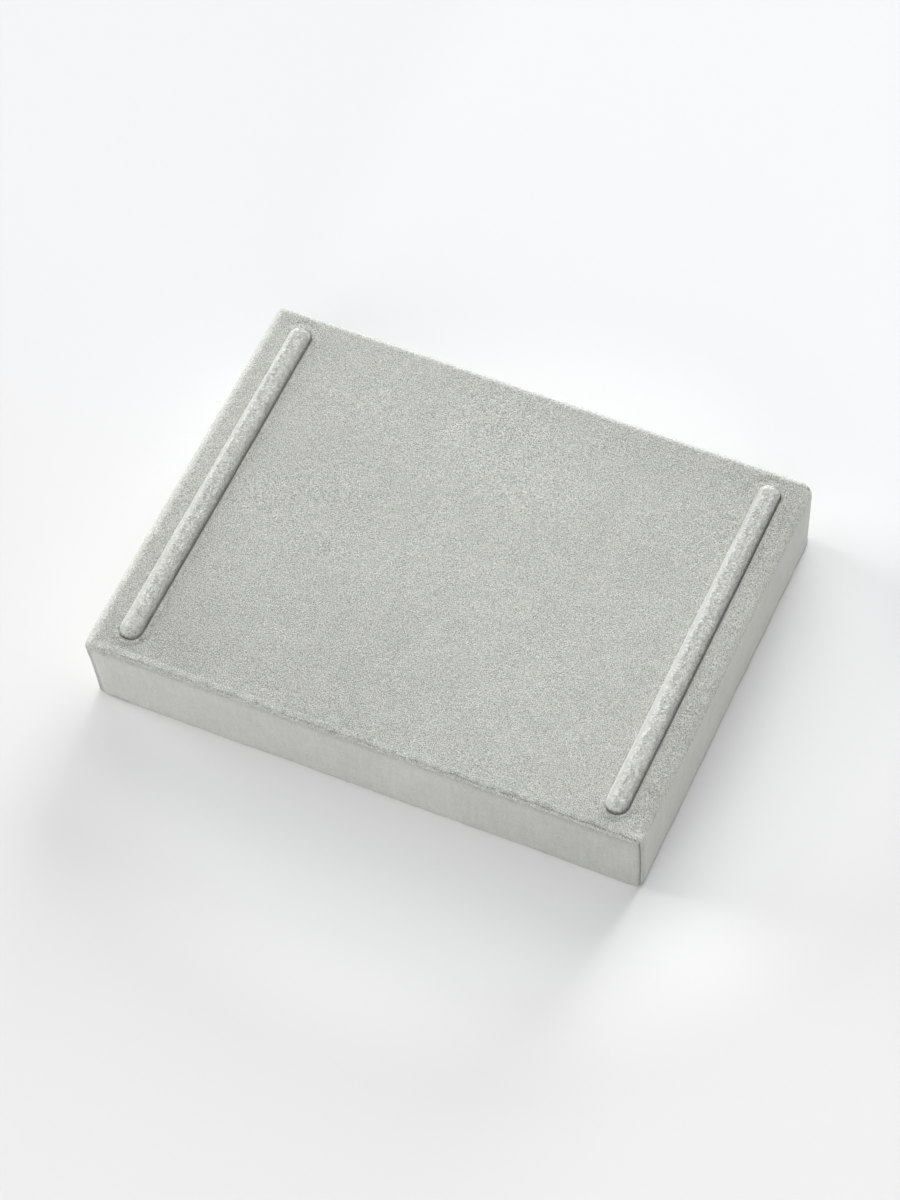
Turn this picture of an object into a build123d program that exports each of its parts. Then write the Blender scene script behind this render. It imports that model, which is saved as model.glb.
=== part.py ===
from build123d import *
import os

# Velour-covered necklace pad: a shallow closed box of greyboard, padded on top
# with thin foam and covered in one cross-cut piece of velour, with two
# velour-covered round-topped bars standing in slots near the short sides.
# Millimetres. X runs along the long side, Y from front to back, Z up.
# The origin is the centre of the footprint, on the surface the pad stands on.

# ---- driving dimensions -------------------------------------------------
LENGTH = 155.0          # outer length at the top, over the velour
DEPTH = 120.0           # outer depth at the top, over the velour
BODY_H = 23.4           # height of the flat top, over the velour
LEAN_X = 1.3            # each short wall leans in by this much at the foot
LEAN_Y = 1.2            # each long wall leans in by this much at the foot
CORNER_R = 2.2          # radius of the vertical corners
TOP_EDGE_R = 2.0        # softness of the padded top edge
FOOT_R = 0.7            # where the velour turns under

VELOUR = 1.0            # thickness of the velour, pile included
HEM = 0.9               # thickness of the glued hem under the walls
HEM_W = 12.0            # width of the hem
LINER = 0.3             # base sheet
LINER_INSET = 6.5       # base sheet's inset from the foot
FOAM = 1.4              # foam under the top
BOARD = 2.0             # greyboard of top and walls
FLOOR = 1.5             # greyboard of the floor
FLOOR_GAP = 0.1         # slack between the floor and the walls
SEAM = 0.25             # width of the butt seams at the corners
SEAM_TOP = 3.2          # the seams stop this far below the top
TAPE = 0.15             # gummed paper at the corners
TAPE_LEG = 12.0         # width of each leg of the tape

BAR_X = 67.45           # bars' centre lines, either side of the middle
BAR_L = 108.4           # overall length of a bar
BAR_R = 3.1             # outer radius of the rounded bar
BAR_RISE = 2.0          # how far a bar stands above the velour
SLEEVE = 0.9            # thickness of the sleeve's velour
PINCH = 0.35            # gap between bar and slot, where a chain is held
LIP_R = 0.8             # rounding of the velour where it turns down into a slot
TAIL_HALF_W = 6.4       # half width of the sleeve's glued tails
TAIL_HALF_L = 56.3      # half length of the sleeve's glued tails
BACKING = 2.0           # strip under the slot
BACKING_W = 18.0
BACKING_L = 113.0
BACKING_IN = 2.55       # the strip is shifted this much towards the middle

# ---- levels ---------------------------------------------------------------
Z_HEM = LINER                       # underside of the hem
Z_BOARD = LINER + HEM               # foot of the boards
Z_VELOUR = BODY_H - VELOUR          # underside of the top velour
Z_FOAM = Z_VELOUR - FOAM            # underside of the foam
Z_TOP = Z_FOAM - BOARD              # underside of the top board
Z_TAIL = Z_TOP - SLEEVE             # underside of the glued tails
Z_BACK = Z_TAIL - BACKING           # underside of the slot's backing strip
BAR_Z = BODY_H + BAR_RISE - BAR_R   # centre of the bar's round
SLOT_R = BAR_R + PINCH              # half width of the finished slot
CUT_R = SLOT_R + VELOUR             # half width of the slot cut in foam and board
CORE_R = BAR_R - SLEEVE             # half width of the bar's core


def half_sizes(z, inset=0.0):
    """Half length and half depth of the leaning body at height z.

    The full size is reached where the soft top edge meets the wall.
    """
    k = (BODY_H - TOP_EDGE_R - z) / (BODY_H - TOP_EDGE_R - Z_HEM)
    return (LENGTH / 2 - LEAN_X * k - inset, DEPTH / 2 - LEAN_Y * k - inset)


def body(z0, z1, inset=0.0, radius=CORNER_R, more=(0.0, 0.0)):
    """Leaning block with rounded vertical corners between two heights."""
    faces = []
    for z in (z0, z1):
        hx, hy = half_sizes(z, inset)
        hx, hy = hx + more[0], hy + more[1]
        if radius > 0:
            sk = RectangleRounded(2 * hx, 2 * hy, radius)
        else:
            sk = Rectangle(2 * hx, 2 * hy)
        faces.append(Pos(0, 0, z) * sk)
    return loft(faces, ruled=True)


def rim(shape, z):
    """Edges of the shape that lie flat at height z."""
    return [e for e in shape.edges()
            if abs(e.bounding_box().min.Z - z) < 1e-4
            and abs(e.bounding_box().max.Z - z) < 1e-4]


def slab(z0, z1):
    """Very wide slice between two heights."""
    return Pos(0, 0, (z0 + z1) / 2) * Box(400, 400, z1 - z0)


def obround(x, radius, z0, z1, length=BAR_L):
    """Upright block with round ends, running front to back at x."""
    run = length - 2 * BAR_R
    block = Pos(x, 0, (z0 + z1) / 2) * Box(2 * radius, run, z1 - z0)
    for s in (-1, 1):
        block = block + Pos(x, s * run / 2, (z0 + z1) / 2) * Cylinder(radius, z1 - z0)
    return block


def bar_shape(x, radius, z0):
    """Bar with a half-round top and ball ends, standing on height z0."""
    run = BAR_L - 2 * BAR_R
    shape = obround(x, radius, z0, BAR_Z)
    shape = shape + Pos(x, 0, BAR_Z) * Rot(90, 0, 0) * Cylinder(radius, run)
    for s in (-1, 1):
        shape = shape + Pos(x, s * run / 2, BAR_Z) * Sphere(radius)
    return shape


# ---- the outer form, and the form that the boards and foam fill -------------
outer = body(Z_HEM, BODY_H)
outer = fillet(rim(outer, BODY_H), TOP_EDGE_R)
outer = fillet(rim(outer, Z_HEM), FOOT_R)

filling = body(Z_BOARD, Z_VELOUR, VELOUR, CORNER_R - VELOUR)
filling = fillet(rim(filling, Z_VELOUR), TOP_EDGE_R - VELOUR)

slots_cut = obround(-BAR_X, CUT_R, Z_TOP - 1, BODY_H) + obround(BAR_X, CUT_R, Z_TOP - 1, BODY_H)

# ---- boards -----------------------------------------------------------------
foam_pad = (filling & slab(Z_FOAM, Z_VELOUR)) - slots_cut
top_board = (filling & slab(Z_TOP, Z_FOAM)) - slots_cut

walls = filling & slab(Z_BOARD, Z_TOP)
room = body(Z_BOARD - 1, Z_TOP + 1, VELOUR + BOARD, 0)
ring = walls - room
between = body(Z_BOARD - 1, Z_TOP + 1, VELOUR + BOARD, 0, (20.0, 0.0))
ends = ring & between
long_sides = ring - between


def pick(shape, test):
    """The one solid of a shape whose centre passes the test."""
    found = [s for s in shape.solids() if test(s.center())]
    assert len(found) == 1, len(found)
    return found[0]


front_board = pick(long_sides, lambda c: c.Y < 0)
back_board = pick(long_sides, lambda c: c.Y > 0)
left_board = pick(ends, lambda c: c.X < 0)
right_board = pick(ends, lambda c: c.X > 0)
bottom_board = body(Z_BOARD, Z_BOARD + FLOOR, VELOUR + BOARD + FLOOR_GAP, 0)

# ---- gummed paper over the outside of each board corner ----------------------
wrap = body(Z_BOARD + 1.0, Z_TOP - 1.0, VELOUR - TAPE, CORNER_R - VELOUR + TAPE)
wrap = wrap - filling
tapes = {}
for name, sx, sy in (("front_left", -1, -1), ("front_right", 1, -1),
                     ("back_left", -1, 1), ("back_right", 1, 1)):
    hx, hy = half_sizes(0.0)
    corner = Pos(sx * (hx - TAPE_LEG + 20), sy * (hy - TAPE_LEG + 20), 12) * Box(40, 40, 60)
    tapes[name] = (wrap & corner).solids()[0]

# ---- bars: core, sleeve and the strip that carries them ---------------------
cores, sleeves, backings = {}, {}, {}
for name, s in (("left", -1), ("right", 1)):
    x = s * BAR_X
    core = bar_shape(x, CORE_R, Z_TAIL)
    tails = Pos(x, 0, Z_TAIL) * extrude(RectangleRounded(2 * TAIL_HALF_W, 2 * TAIL_HALF_L, 3.0), SLEEVE)
    sleeve = (bar_shape(x, BAR_R, Z_TAIL) + tails) - core
    cores[name] = core
    sleeves[name] = sleeve
    backings[name] = Pos(x - s * BACKING_IN, 0, Z_BACK + BACKING / 2) * Box(BACKING_W, BACKING_L, BACKING)

# ---- velour cover -------------------------------------------------------------
velour_cover = outer - filling
# the velour turns down into each slot as a tube with a rounded lip
for s in (-1, 1):
    tube = obround(s * BAR_X, CUT_R, Z_TOP, BODY_H - 0.5 * VELOUR)
    velour_cover = velour_cover + tube
for s in (-1, 1):
    velour_cover = velour_cover - obround(s * BAR_X, SLOT_R, Z_TOP - 1, BODY_H + 1)
lips = [e for e in rim(velour_cover, BODY_H)
        if abs(abs(e.center().X) - BAR_X) < SLOT_R + 0.5
        and abs(e.center().Y) < BAR_L / 2 + PINCH + 0.5]
velour_cover = fillet(lips, LIP_R)

# the hem is a frame under the walls
hx, hy = half_sizes(Z_HEM)
velour_cover = velour_cover - (Pos(0, 0, 0) * Box(2 * (hx - HEM_W), 2 * (hy - HEM_W), 2 * Z_BOARD))

# butt seams down the four corners and mitres across the hem
for sx in (-1, 1):
    for sy in (-1, 1):
        cut = Pos(sx * hx, sy * hy, (BODY_H - SEAM_TOP) / 2) * Rot(0, 0, 45 * sx * sy) * Box(
            60, SEAM, BODY_H - SEAM_TOP)
        velour_cover = velour_cover - cut
# the tapes press into the back of the velour
for t in tapes.values():
    velour_cover = velour_cover - t

# ---- underside ----------------------------------------------------------------
base_liner = extrude(RectangleRounded(2 * (hx - LINER_INSET), 2 * (hy - LINER_INSET), 2.0), LINER)

# ---- write --------------------------------------------------------------------
parts = {
    "velour_cover": velour_cover,
    "foam_pad": foam_pad,
    "top_board": top_board,
    "front_board": front_board,
    "back_board": back_board,
    "left_board": left_board,
    "right_board": right_board,
    "bottom_board": bottom_board,
    "base_liner": base_liner,
}
for name, t in tapes.items():
    parts["corner_tape_" + name] = t
for name in ("left", "right"):
    parts[name + "_bar_sleeve"] = sleeves[name]
    parts[name + "_bar_core"] = cores[name]
    parts[name + "_slot_backing"] = backings[name]

os.makedirs("parts", exist_ok=True)
for name, shape in parts.items():
    solids = shape.solids() if not isinstance(shape, Solid) else [shape]
    print(name, len(solids), round(sum(s.volume for s in solids), 1))
    export_step(solids[0] if len(solids) == 1 else Compound(children=list(solids)),
                os.path.join("parts", name + ".step"))
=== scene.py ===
import bpy
import math
import numpy as np
from mathutils import Matrix, Vector
from mathutils.geometry import delaunay_2d_cdt


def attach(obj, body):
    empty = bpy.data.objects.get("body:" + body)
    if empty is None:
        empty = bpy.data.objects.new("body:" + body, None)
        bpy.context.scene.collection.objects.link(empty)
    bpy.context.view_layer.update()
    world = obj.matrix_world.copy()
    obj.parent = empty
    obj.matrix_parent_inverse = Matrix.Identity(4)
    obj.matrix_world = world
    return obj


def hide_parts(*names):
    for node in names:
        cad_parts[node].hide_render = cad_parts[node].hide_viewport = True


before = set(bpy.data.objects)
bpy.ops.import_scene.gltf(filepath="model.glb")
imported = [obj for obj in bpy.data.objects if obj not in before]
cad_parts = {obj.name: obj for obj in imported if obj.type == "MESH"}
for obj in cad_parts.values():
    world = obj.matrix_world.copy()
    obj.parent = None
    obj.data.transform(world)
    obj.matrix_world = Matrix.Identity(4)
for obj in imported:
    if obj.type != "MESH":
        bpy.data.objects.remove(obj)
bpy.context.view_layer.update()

# Velour-covered necklace pad. Lengths here are in millimetres, and turn into
# metres when a mesh is made. X runs along the long side, Y from front to back.
LENGTH, DEPTH, BODY_H = 155.0, 120.0, 23.4
EDGE_R, FOOT_R = 2.0, 0.7
Z_HEM, HEM, HEM_W = 0.3, 0.9, 12.0
BAR_X, BAR_L, BAR_R, BAR_RISE = 67.45, 108.4, 3.1, 2.0
BAR_Z = BODY_H + BAR_RISE - BAR_R
BAR_RUN = BAR_L / 2 - BAR_R
SLOT_R, TUBE_R = 3.45, 4.41
MOUTH_R, LIP_R = 3.26, 0.50    # the pile narrows the slot's mouth
CROWN = 2.8                    # the bars' section is a little squarer than a half round
Z_TUBE, Z_TAIL, SLEEVE = 19.03, 18.1, 0.9
TAIL_W, TAIL_L = 6.4, 56.3
GX, GY = 74.9, 57.4            # half sizes of the flat part of the top
RX, RY = 6.05, 56.4            # half sizes of the block of mesh round a slot
SEED = 11


# ---------------------------------------------------------------- fields
def lattice(i, j, k, seed):
    """A number from -1 to 1 for each point of a grid, always the same."""
    n = (i * 374761393 + j * 668265263 + k * 2147483647 + seed * 1274126177) & 0xFFFFFFFF
    n = ((n ^ (n >> 13)) * 1274126177) & 0xFFFFFFFF
    n = ((n ^ (n >> 16)) * 2246822519) & 0xFFFFFFFF
    return ((n ^ (n >> 15)) & 0xFFFF) / 32767.5 - 1.0


def noise(points, size, seed=0):
    """Smooth noise from -1 to 1 with lumps of about this size; size may differ by axis."""
    q = np.asarray(points, float) / np.asarray(size, float) + 1000.0
    base = np.floor(q).astype(np.int64)
    f = q - base
    f = f * f * f * (f * (f * 6 - 15) + 10)
    total = 0.0
    for a in (0, 1):
        for b in (0, 1):
            for c in (0, 1):
                w = (f[:, 0] if a else 1 - f[:, 0]) * (f[:, 1] if b else 1 - f[:, 1]) * (
                    f[:, 2] if c else 1 - f[:, 2])
                total = total + w * lattice(base[:, 0] + a, base[:, 1] + b, base[:, 2] + c, seed)
    return total


def ramp(x, low, high):
    """0 below low, 1 above high, smooth between them."""
    f = np.clip((np.asarray(x, float) - low) / (high - low), 0, 1)
    return f * f * (3 - 2 * f)


def bell(x, middle, width):
    return np.exp(-(((np.asarray(x, float) - middle) / width) ** 2))


def slot_distance(x, y, side):
    """Distance in plan from the centre line of the slot on that side."""
    return np.hypot(x - side * BAR_X, np.maximum(np.abs(y) - BAR_RUN, 0))


def gap_open(x, y, side):
    """1 where a slot gapes, to the right and at the near end, and 0 where the pile leans on the bar."""
    ux, uy = x - side * BAR_X, np.sign(y) * np.maximum(np.abs(y) - BAR_RUN, 0)
    size = np.maximum(np.hypot(ux, uy), 1e-9)
    return ramp(0.60 * ux / size - 0.75 * uy / size, -0.02, 0.50)


# ---------------------------------------------------------------- a mesh under way
class Build:
    """Vertices with a few numbers each, and faces with a map and a material."""

    # marks: the pile's nap with painted light and shade, how flat the pile is pressed, and painted shade
    names = ("nap_and_light", "pressed", "deep")

    def __init__(self):
        self.points, self.marks, self.faces, self.maps, self.slots, self.count = [], [], [], [], [], 0

    def add(self, points, **marks):
        points = np.asarray(points, float)
        row = np.zeros((len(points), len(self.names)))
        for k, name in enumerate(self.names):
            row[:, k] = marks.get(name, 0.0)
        self.points.append(points)
        self.marks.append(row)
        ids = np.arange(self.count, self.count + len(points))
        self.count += len(points)
        return ids

    def face(self, corners, uv, slot=0):
        """corners (n, 3 or 4) vertex numbers and uv (n, 3 or 4, 2)."""
        self.faces.append(np.asarray(corners, int))
        self.maps.append(np.asarray(uv, float))
        self.slots.append(np.full(len(corners), slot, int))

    def strip(self, a, b, ua, ub, slot=0, flip=False):
        """Quads between two rows of vertices, with their map."""
        q = np.stack([a[:-1], b[:-1], b[1:], a[1:]], 1)
        m = np.stack([ua[:-1], ub[:-1], ub[1:], ua[1:]], 1)
        if flip:
            q, m = q[:, ::-1], m[:, ::-1]
        self.face(q, m, slot)

    def turn_over(self):
        """Turn every face the other way round."""
        self.faces = [f[:, ::-1] for f in self.faces]
        self.maps = [m[:, ::-1] for m in self.maps]

    def arrays(self):
        return np.concatenate(self.points), np.concatenate(self.marks)

    def make(self, name, materials, points=None, marks=None):
        p, m = self.arrays()
        if points is not None:
            p = points
        if marks is not None:
            m = marks
        me = bpy.data.meshes.new(name)
        sizes = np.concatenate([np.full(len(f), f.shape[1]) for f in self.faces])
        flat = np.concatenate([f.ravel() for f in self.faces])
        me.vertices.add(len(p))
        me.vertices.foreach_set("co", (p * 0.001).ravel())
        me.loops.add(len(flat))
        me.loops.foreach_set("vertex_index", flat)
        me.polygons.add(len(sizes))
        me.polygons.foreach_set("loop_start", np.concatenate([[0], np.cumsum(sizes)[:-1]]))
        me.polygons.foreach_set("material_index", np.concatenate(self.slots))
        me.update(calc_edges=True)
        layer = me.uv_layers.new(name="OFBake")
        layer.uv.foreach_set("vector", np.concatenate([u.reshape(-1, 2) for u in self.maps]).ravel())
        for k, what in enumerate(self.names):
            at = me.attributes.new(what, "FLOAT", "POINT")
            at.data.foreach_set("value", m[:, k])
        me.polygons.foreach_set("use_smooth", np.ones(len(sizes), bool))
        for mat in materials:
            me.materials.append(mat)
        me.validate()
        ob = bpy.data.objects.new(name, me)
        bpy.context.scene.collection.objects.link(ob)
        return ob


def normals_of(build, points):
    """A normal for each vertex."""
    total = np.zeros_like(points)
    for f in build.faces:
        d1 = points[f[:, 2]] - points[f[:, 0]]
        d2 = points[f[:, -1]] - points[f[:, 1]]
        n = np.cross(d1, d2)
        for k in range(f.shape[1]):
            np.add.at(total, f[:, k], n)
    return total / np.maximum(np.linalg.norm(total, axis=1), 1e-12)[:, None]


# ---------------------------------------------------------------- plan outlines
def spaced(low, high, step):
    return np.linspace(low, high, max(int(round((high - low) / step)), 1) + 1)


def mirrored(half):
    return np.concatenate([-half[:0:-1], half])


class Outline:
    """Rows and columns of the flat top, and the closed rings that run round it.

    Sides 0 to 3 are front, right, back and left, counterclockwise from above.
    Corners are D front left, C front right, B back right and A back left.
    """

    def __init__(self, step, ends, gx=GX, gy=GY, rx=RX, ry=RY):
        self.gx, self.gy, self.rx, self.ry = gx, gy, rx, ry
        fx = gx - np.asarray(ends) * (gx - BAR_X - rx) / ends[0]
        fy = gy - np.asarray(ends) * (gy - ry) / ends[0]
        self.xs = mirrored(np.concatenate([spaced(0, BAR_X - rx, step), spaced(BAR_X - rx, BAR_X + rx, step)[1:], fx[1:]]))
        self.ys = mirrored(np.concatenate([spaced(0, ry, step), fy[1:]]))
        nx, ny = len(self.xs), len(self.ys)
        self.side, self.u, self.length = [], [], []
        for s, (n, c) in enumerate(((nx, self.xs), (ny, self.ys), (nx, self.xs), (ny, self.ys))):
            run = c - c[0] if s < 2 else c[-1] - c[::-1]
            self.side += [s] * (n - 1)
            self.u += list(run[:-1])
            self.length += [run[-1]] * (n - 1)
        self.side, self.u, self.length = map(np.asarray, (self.side, self.u, self.length))
        self.n = len(self.side)
        self.cols = [np.concatenate([np.flatnonzero(self.side == s), [(np.flatnonzero(self.side == s)[-1] + 1) % self.n]]) for s in range(4)]

    def ring(self, x0, x1, y0, y1, rd, rc, rb, ra):
        """Places, outward directions, distance to the nearest corner seam, and which corner that is."""
        xy, out = np.zeros((self.n, 2)), np.zeros((self.n, 2))
        near, corner = np.zeros(self.n), np.zeros(self.n, int)
        self.runs = []
        ends = ((rd, rc, x1 - x0), (rc, rb, y1 - y0), (rb, ra, x1 - x0), (ra, rd, y1 - y0))
        for s, (r0, r1, across) in enumerate(ends):
            r0, r1 = max(r0, 1e-4), max(r1, 1e-4)
            m = self.side == s
            straight = across - r0 - r1
            whole = straight + (r0 + r1) * math.pi / 4
            t = self.u[m] / self.length[m] * whole
            b0 = np.clip(math.pi / 4 - t / r0, 0, None)
            b1 = np.clip((t - r0 * math.pi / 4 - straight) / r1, 0, None)
            along = np.where(b0 > 0, r0 - r0 * np.sin(b0), np.where(b1 > 0, across - r1 + r1 * np.sin(b1), r0 + t - r0 * math.pi / 4))
            inward = np.where(b0 > 0, r0 - r0 * np.cos(b0), np.where(b1 > 0, r1 - r1 * np.cos(b1), 0.0))
            na = np.where(b0 > 0, -np.sin(b0), np.where(b1 > 0, np.sin(b1), 0.0))
            ni = np.where(b0 > 0, -np.cos(b0), np.where(b1 > 0, -np.cos(b1), -1.0))
            if s == 0:
                xy[m], out[m] = np.stack([x0 + along, y0 + inward], 1), np.stack([na, ni], 1)
            elif s == 1:
                xy[m], out[m] = np.stack([x1 - inward, y0 + along], 1), np.stack([-ni, na], 1)
            elif s == 2:
                xy[m], out[m] = np.stack([x1 - along, y1 - inward], 1), np.stack([-na, -ni], 1)
            else:
                xy[m], out[m] = np.stack([x0 + inward, y1 - along], 1), np.stack([ni, -na], 1)
            near[m] = np.minimum(t, whole - t)
            corner[m] = np.where(t < whole - t, s, (s + 1) % 4)
            full = np.append(t, whole)
            self.runs.append(full - whole / 2)
        return xy, out, near, corner

    def ring_map(self, s, run, far):
        """Developed place of a ring's points on one side, far millimetres beyond the grid."""
        far = np.full(len(run), far)
        return (np.stack([run, -self.gy - far], 1), np.stack([self.gx + far, run], 1),
                np.stack([-run, self.gy + far], 1), np.stack([-self.gx - far, -run], 1))[s]


def developed(uv):
    """Millimetres of the unfolded velour to the unit square."""
    return uv / 244.0 + 0.5


def lay_grid(build, o, height, slot=0, marks=None):
    """The flat top with a block left out round each slot. Returns the numbers of its vertices."""
    X, Y = np.meshgrid(o.xs, o.ys, indexing="ij")
    hole = np.zeros(X.shape, bool)
    for s in (-1, 1):
        hole |= (np.abs(X - s * BAR_X) < o.rx - 1e-6) & (np.abs(Y) < o.ry - 1e-6)
    ids = np.full(X.shape, -1)
    keep = ~hole
    p = np.stack([X[keep], Y[keep], np.full(keep.sum(), height)], 1)
    ids[keep] = build.add(p, **(marks or {}))
    cx, cy = (o.xs[:-1] + o.xs[1:]) / 2, (o.ys[:-1] + o.ys[1:]) / 2
    CX, CY = np.meshgrid(cx, cy, indexing="ij")
    solid = np.ones(CX.shape, bool)
    for s in (-1, 1):
        solid &= ~((np.abs(CX - s * BAR_X) < o.rx) & (np.abs(CY) < o.ry))
    i, j = np.nonzero(solid)
    q = np.stack([ids[i, j], ids[i + 1, j], ids[i + 1, j + 1], ids[i, j + 1]], 1)
    at = np.stack([X, Y], 2)
    uv = np.stack([at[i, j], at[i + 1, j], at[i + 1, j + 1], at[i, j + 1]], 1)
    build.face(q, developed(uv), slot)
    return ids


def border(o, ids):
    """The grid's border, counterclockwise from the front left corner."""
    nx, ny = len(o.xs), len(o.ys)
    return np.concatenate([ids[np.arange(nx - 1), 0], ids[nx - 1, np.arange(ny - 1)],
                           ids[np.arange(nx - 1, 0, -1), ny - 1], ids[0, np.arange(ny - 1, 0, -1)]])


def slot_border(o, ids, side):
    """The border of the block round a slot, counterclockwise, with the place of each vertex."""
    i = np.flatnonzero(np.abs(o.xs - side * BAR_X) <= o.rx + 1e-6)
    j = np.flatnonzero(np.abs(o.ys) <= o.ry + 1e-6)
    a = [(k, j[0]) for k in i[:-1]] + [(i[-1], k) for k in j[:-1]] + [(k, j[-1]) for k in i[:0:-1]] + [(i[0], k) for k in j[:0:-1]]
    a = np.asarray(a)
    return ids[a[:, 0], a[:, 1]], np.stack([o.xs[a[:, 0]], o.ys[a[:, 1]]], 1)


def round_slot(edge, side, radius):
    """Where each vertex of the block's border lies on the slot's outline at that radius."""
    x, y = edge[:, 0] - side * BAR_X, edge[:, 1]
    end = np.maximum(np.abs(y) - BAR_RUN, 0)
    length = np.hypot(x, end)
    straight = np.abs(y) <= BAR_RUN
    px = np.where(straight, np.sign(x) * radius, x / length * radius)
    py = np.where(straight, y, np.sign(y) * (BAR_RUN + end / length * radius))
    return np.stack([side * BAR_X + px, py], 1)


def within(points, loop):
    """Which points lie inside a closed outline."""
    a, b = loop, np.roll(loop, -1, axis=0)
    inside = np.zeros(len(points), bool)
    for (x0, y0), (x1, y1) in zip(a, b):
        if y0 != y1:
            across = (points[:, 1] < y0) != (points[:, 1] < y1)
            inside ^= across & (points[:, 0] < x0 + (points[:, 1] - y0) / (y1 - y0) * (x1 - x0))
    return inside


# ---------------------------------------------------------------- the velour cover
def lean(k, y, x):
    """How far each wall has come in, at a share k of the way down: left, right, front, back."""
    left = (1.3 + 0.55 * ramp(-y, 10, 58)) * k + 0.12 * np.sin(np.pi * np.clip(k, 0, 1)) * ramp(-y, 20, 58)
    right = 0.25 * k
    front = 1.2 * k
    back = 1.2 * k
    return left, right, front, back


def cover_profile(step):
    """Inset from the wall plane, height, share of the way down the wall, and length from the grid's border."""
    rows = [(LENGTH / 2 - GX - 0.3, BODY_H, 0.0)]
    for g in np.linspace(0, math.pi / 2, 9):
        rows.append((EDGE_R - EDGE_R * math.sin(g), BODY_H - EDGE_R + EDGE_R * math.cos(g), 0.0))
    top, foot = BODY_H - EDGE_R, Z_HEM + FOOT_R
    heights = [top - 0.08, top - 0.2, top - 0.45] + list(np.linspace(top, foot, int(round((top - foot) / step)) + 1)[1:])
    for z in heights:
        rows.append((0.0, z, 1.0))
    for g in np.linspace(0, math.pi / 2, 5)[1:]:
        rows.append((FOOT_R - FOOT_R * math.cos(g), foot - FOOT_R * math.sin(g), 1.0))
    for d in (1.3, 2.2, 3.3, 4.6, 6.2, 8.0, 9.8, 11.2, HEM_W - 0.15):
        rows.append((d, Z_HEM, 1.0))
    rows.append((HEM_W, Z_HEM + 0.2, 1.0))
    rows.append((HEM_W, Z_HEM + HEM - 0.03, 1.0))
    return rows


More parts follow.
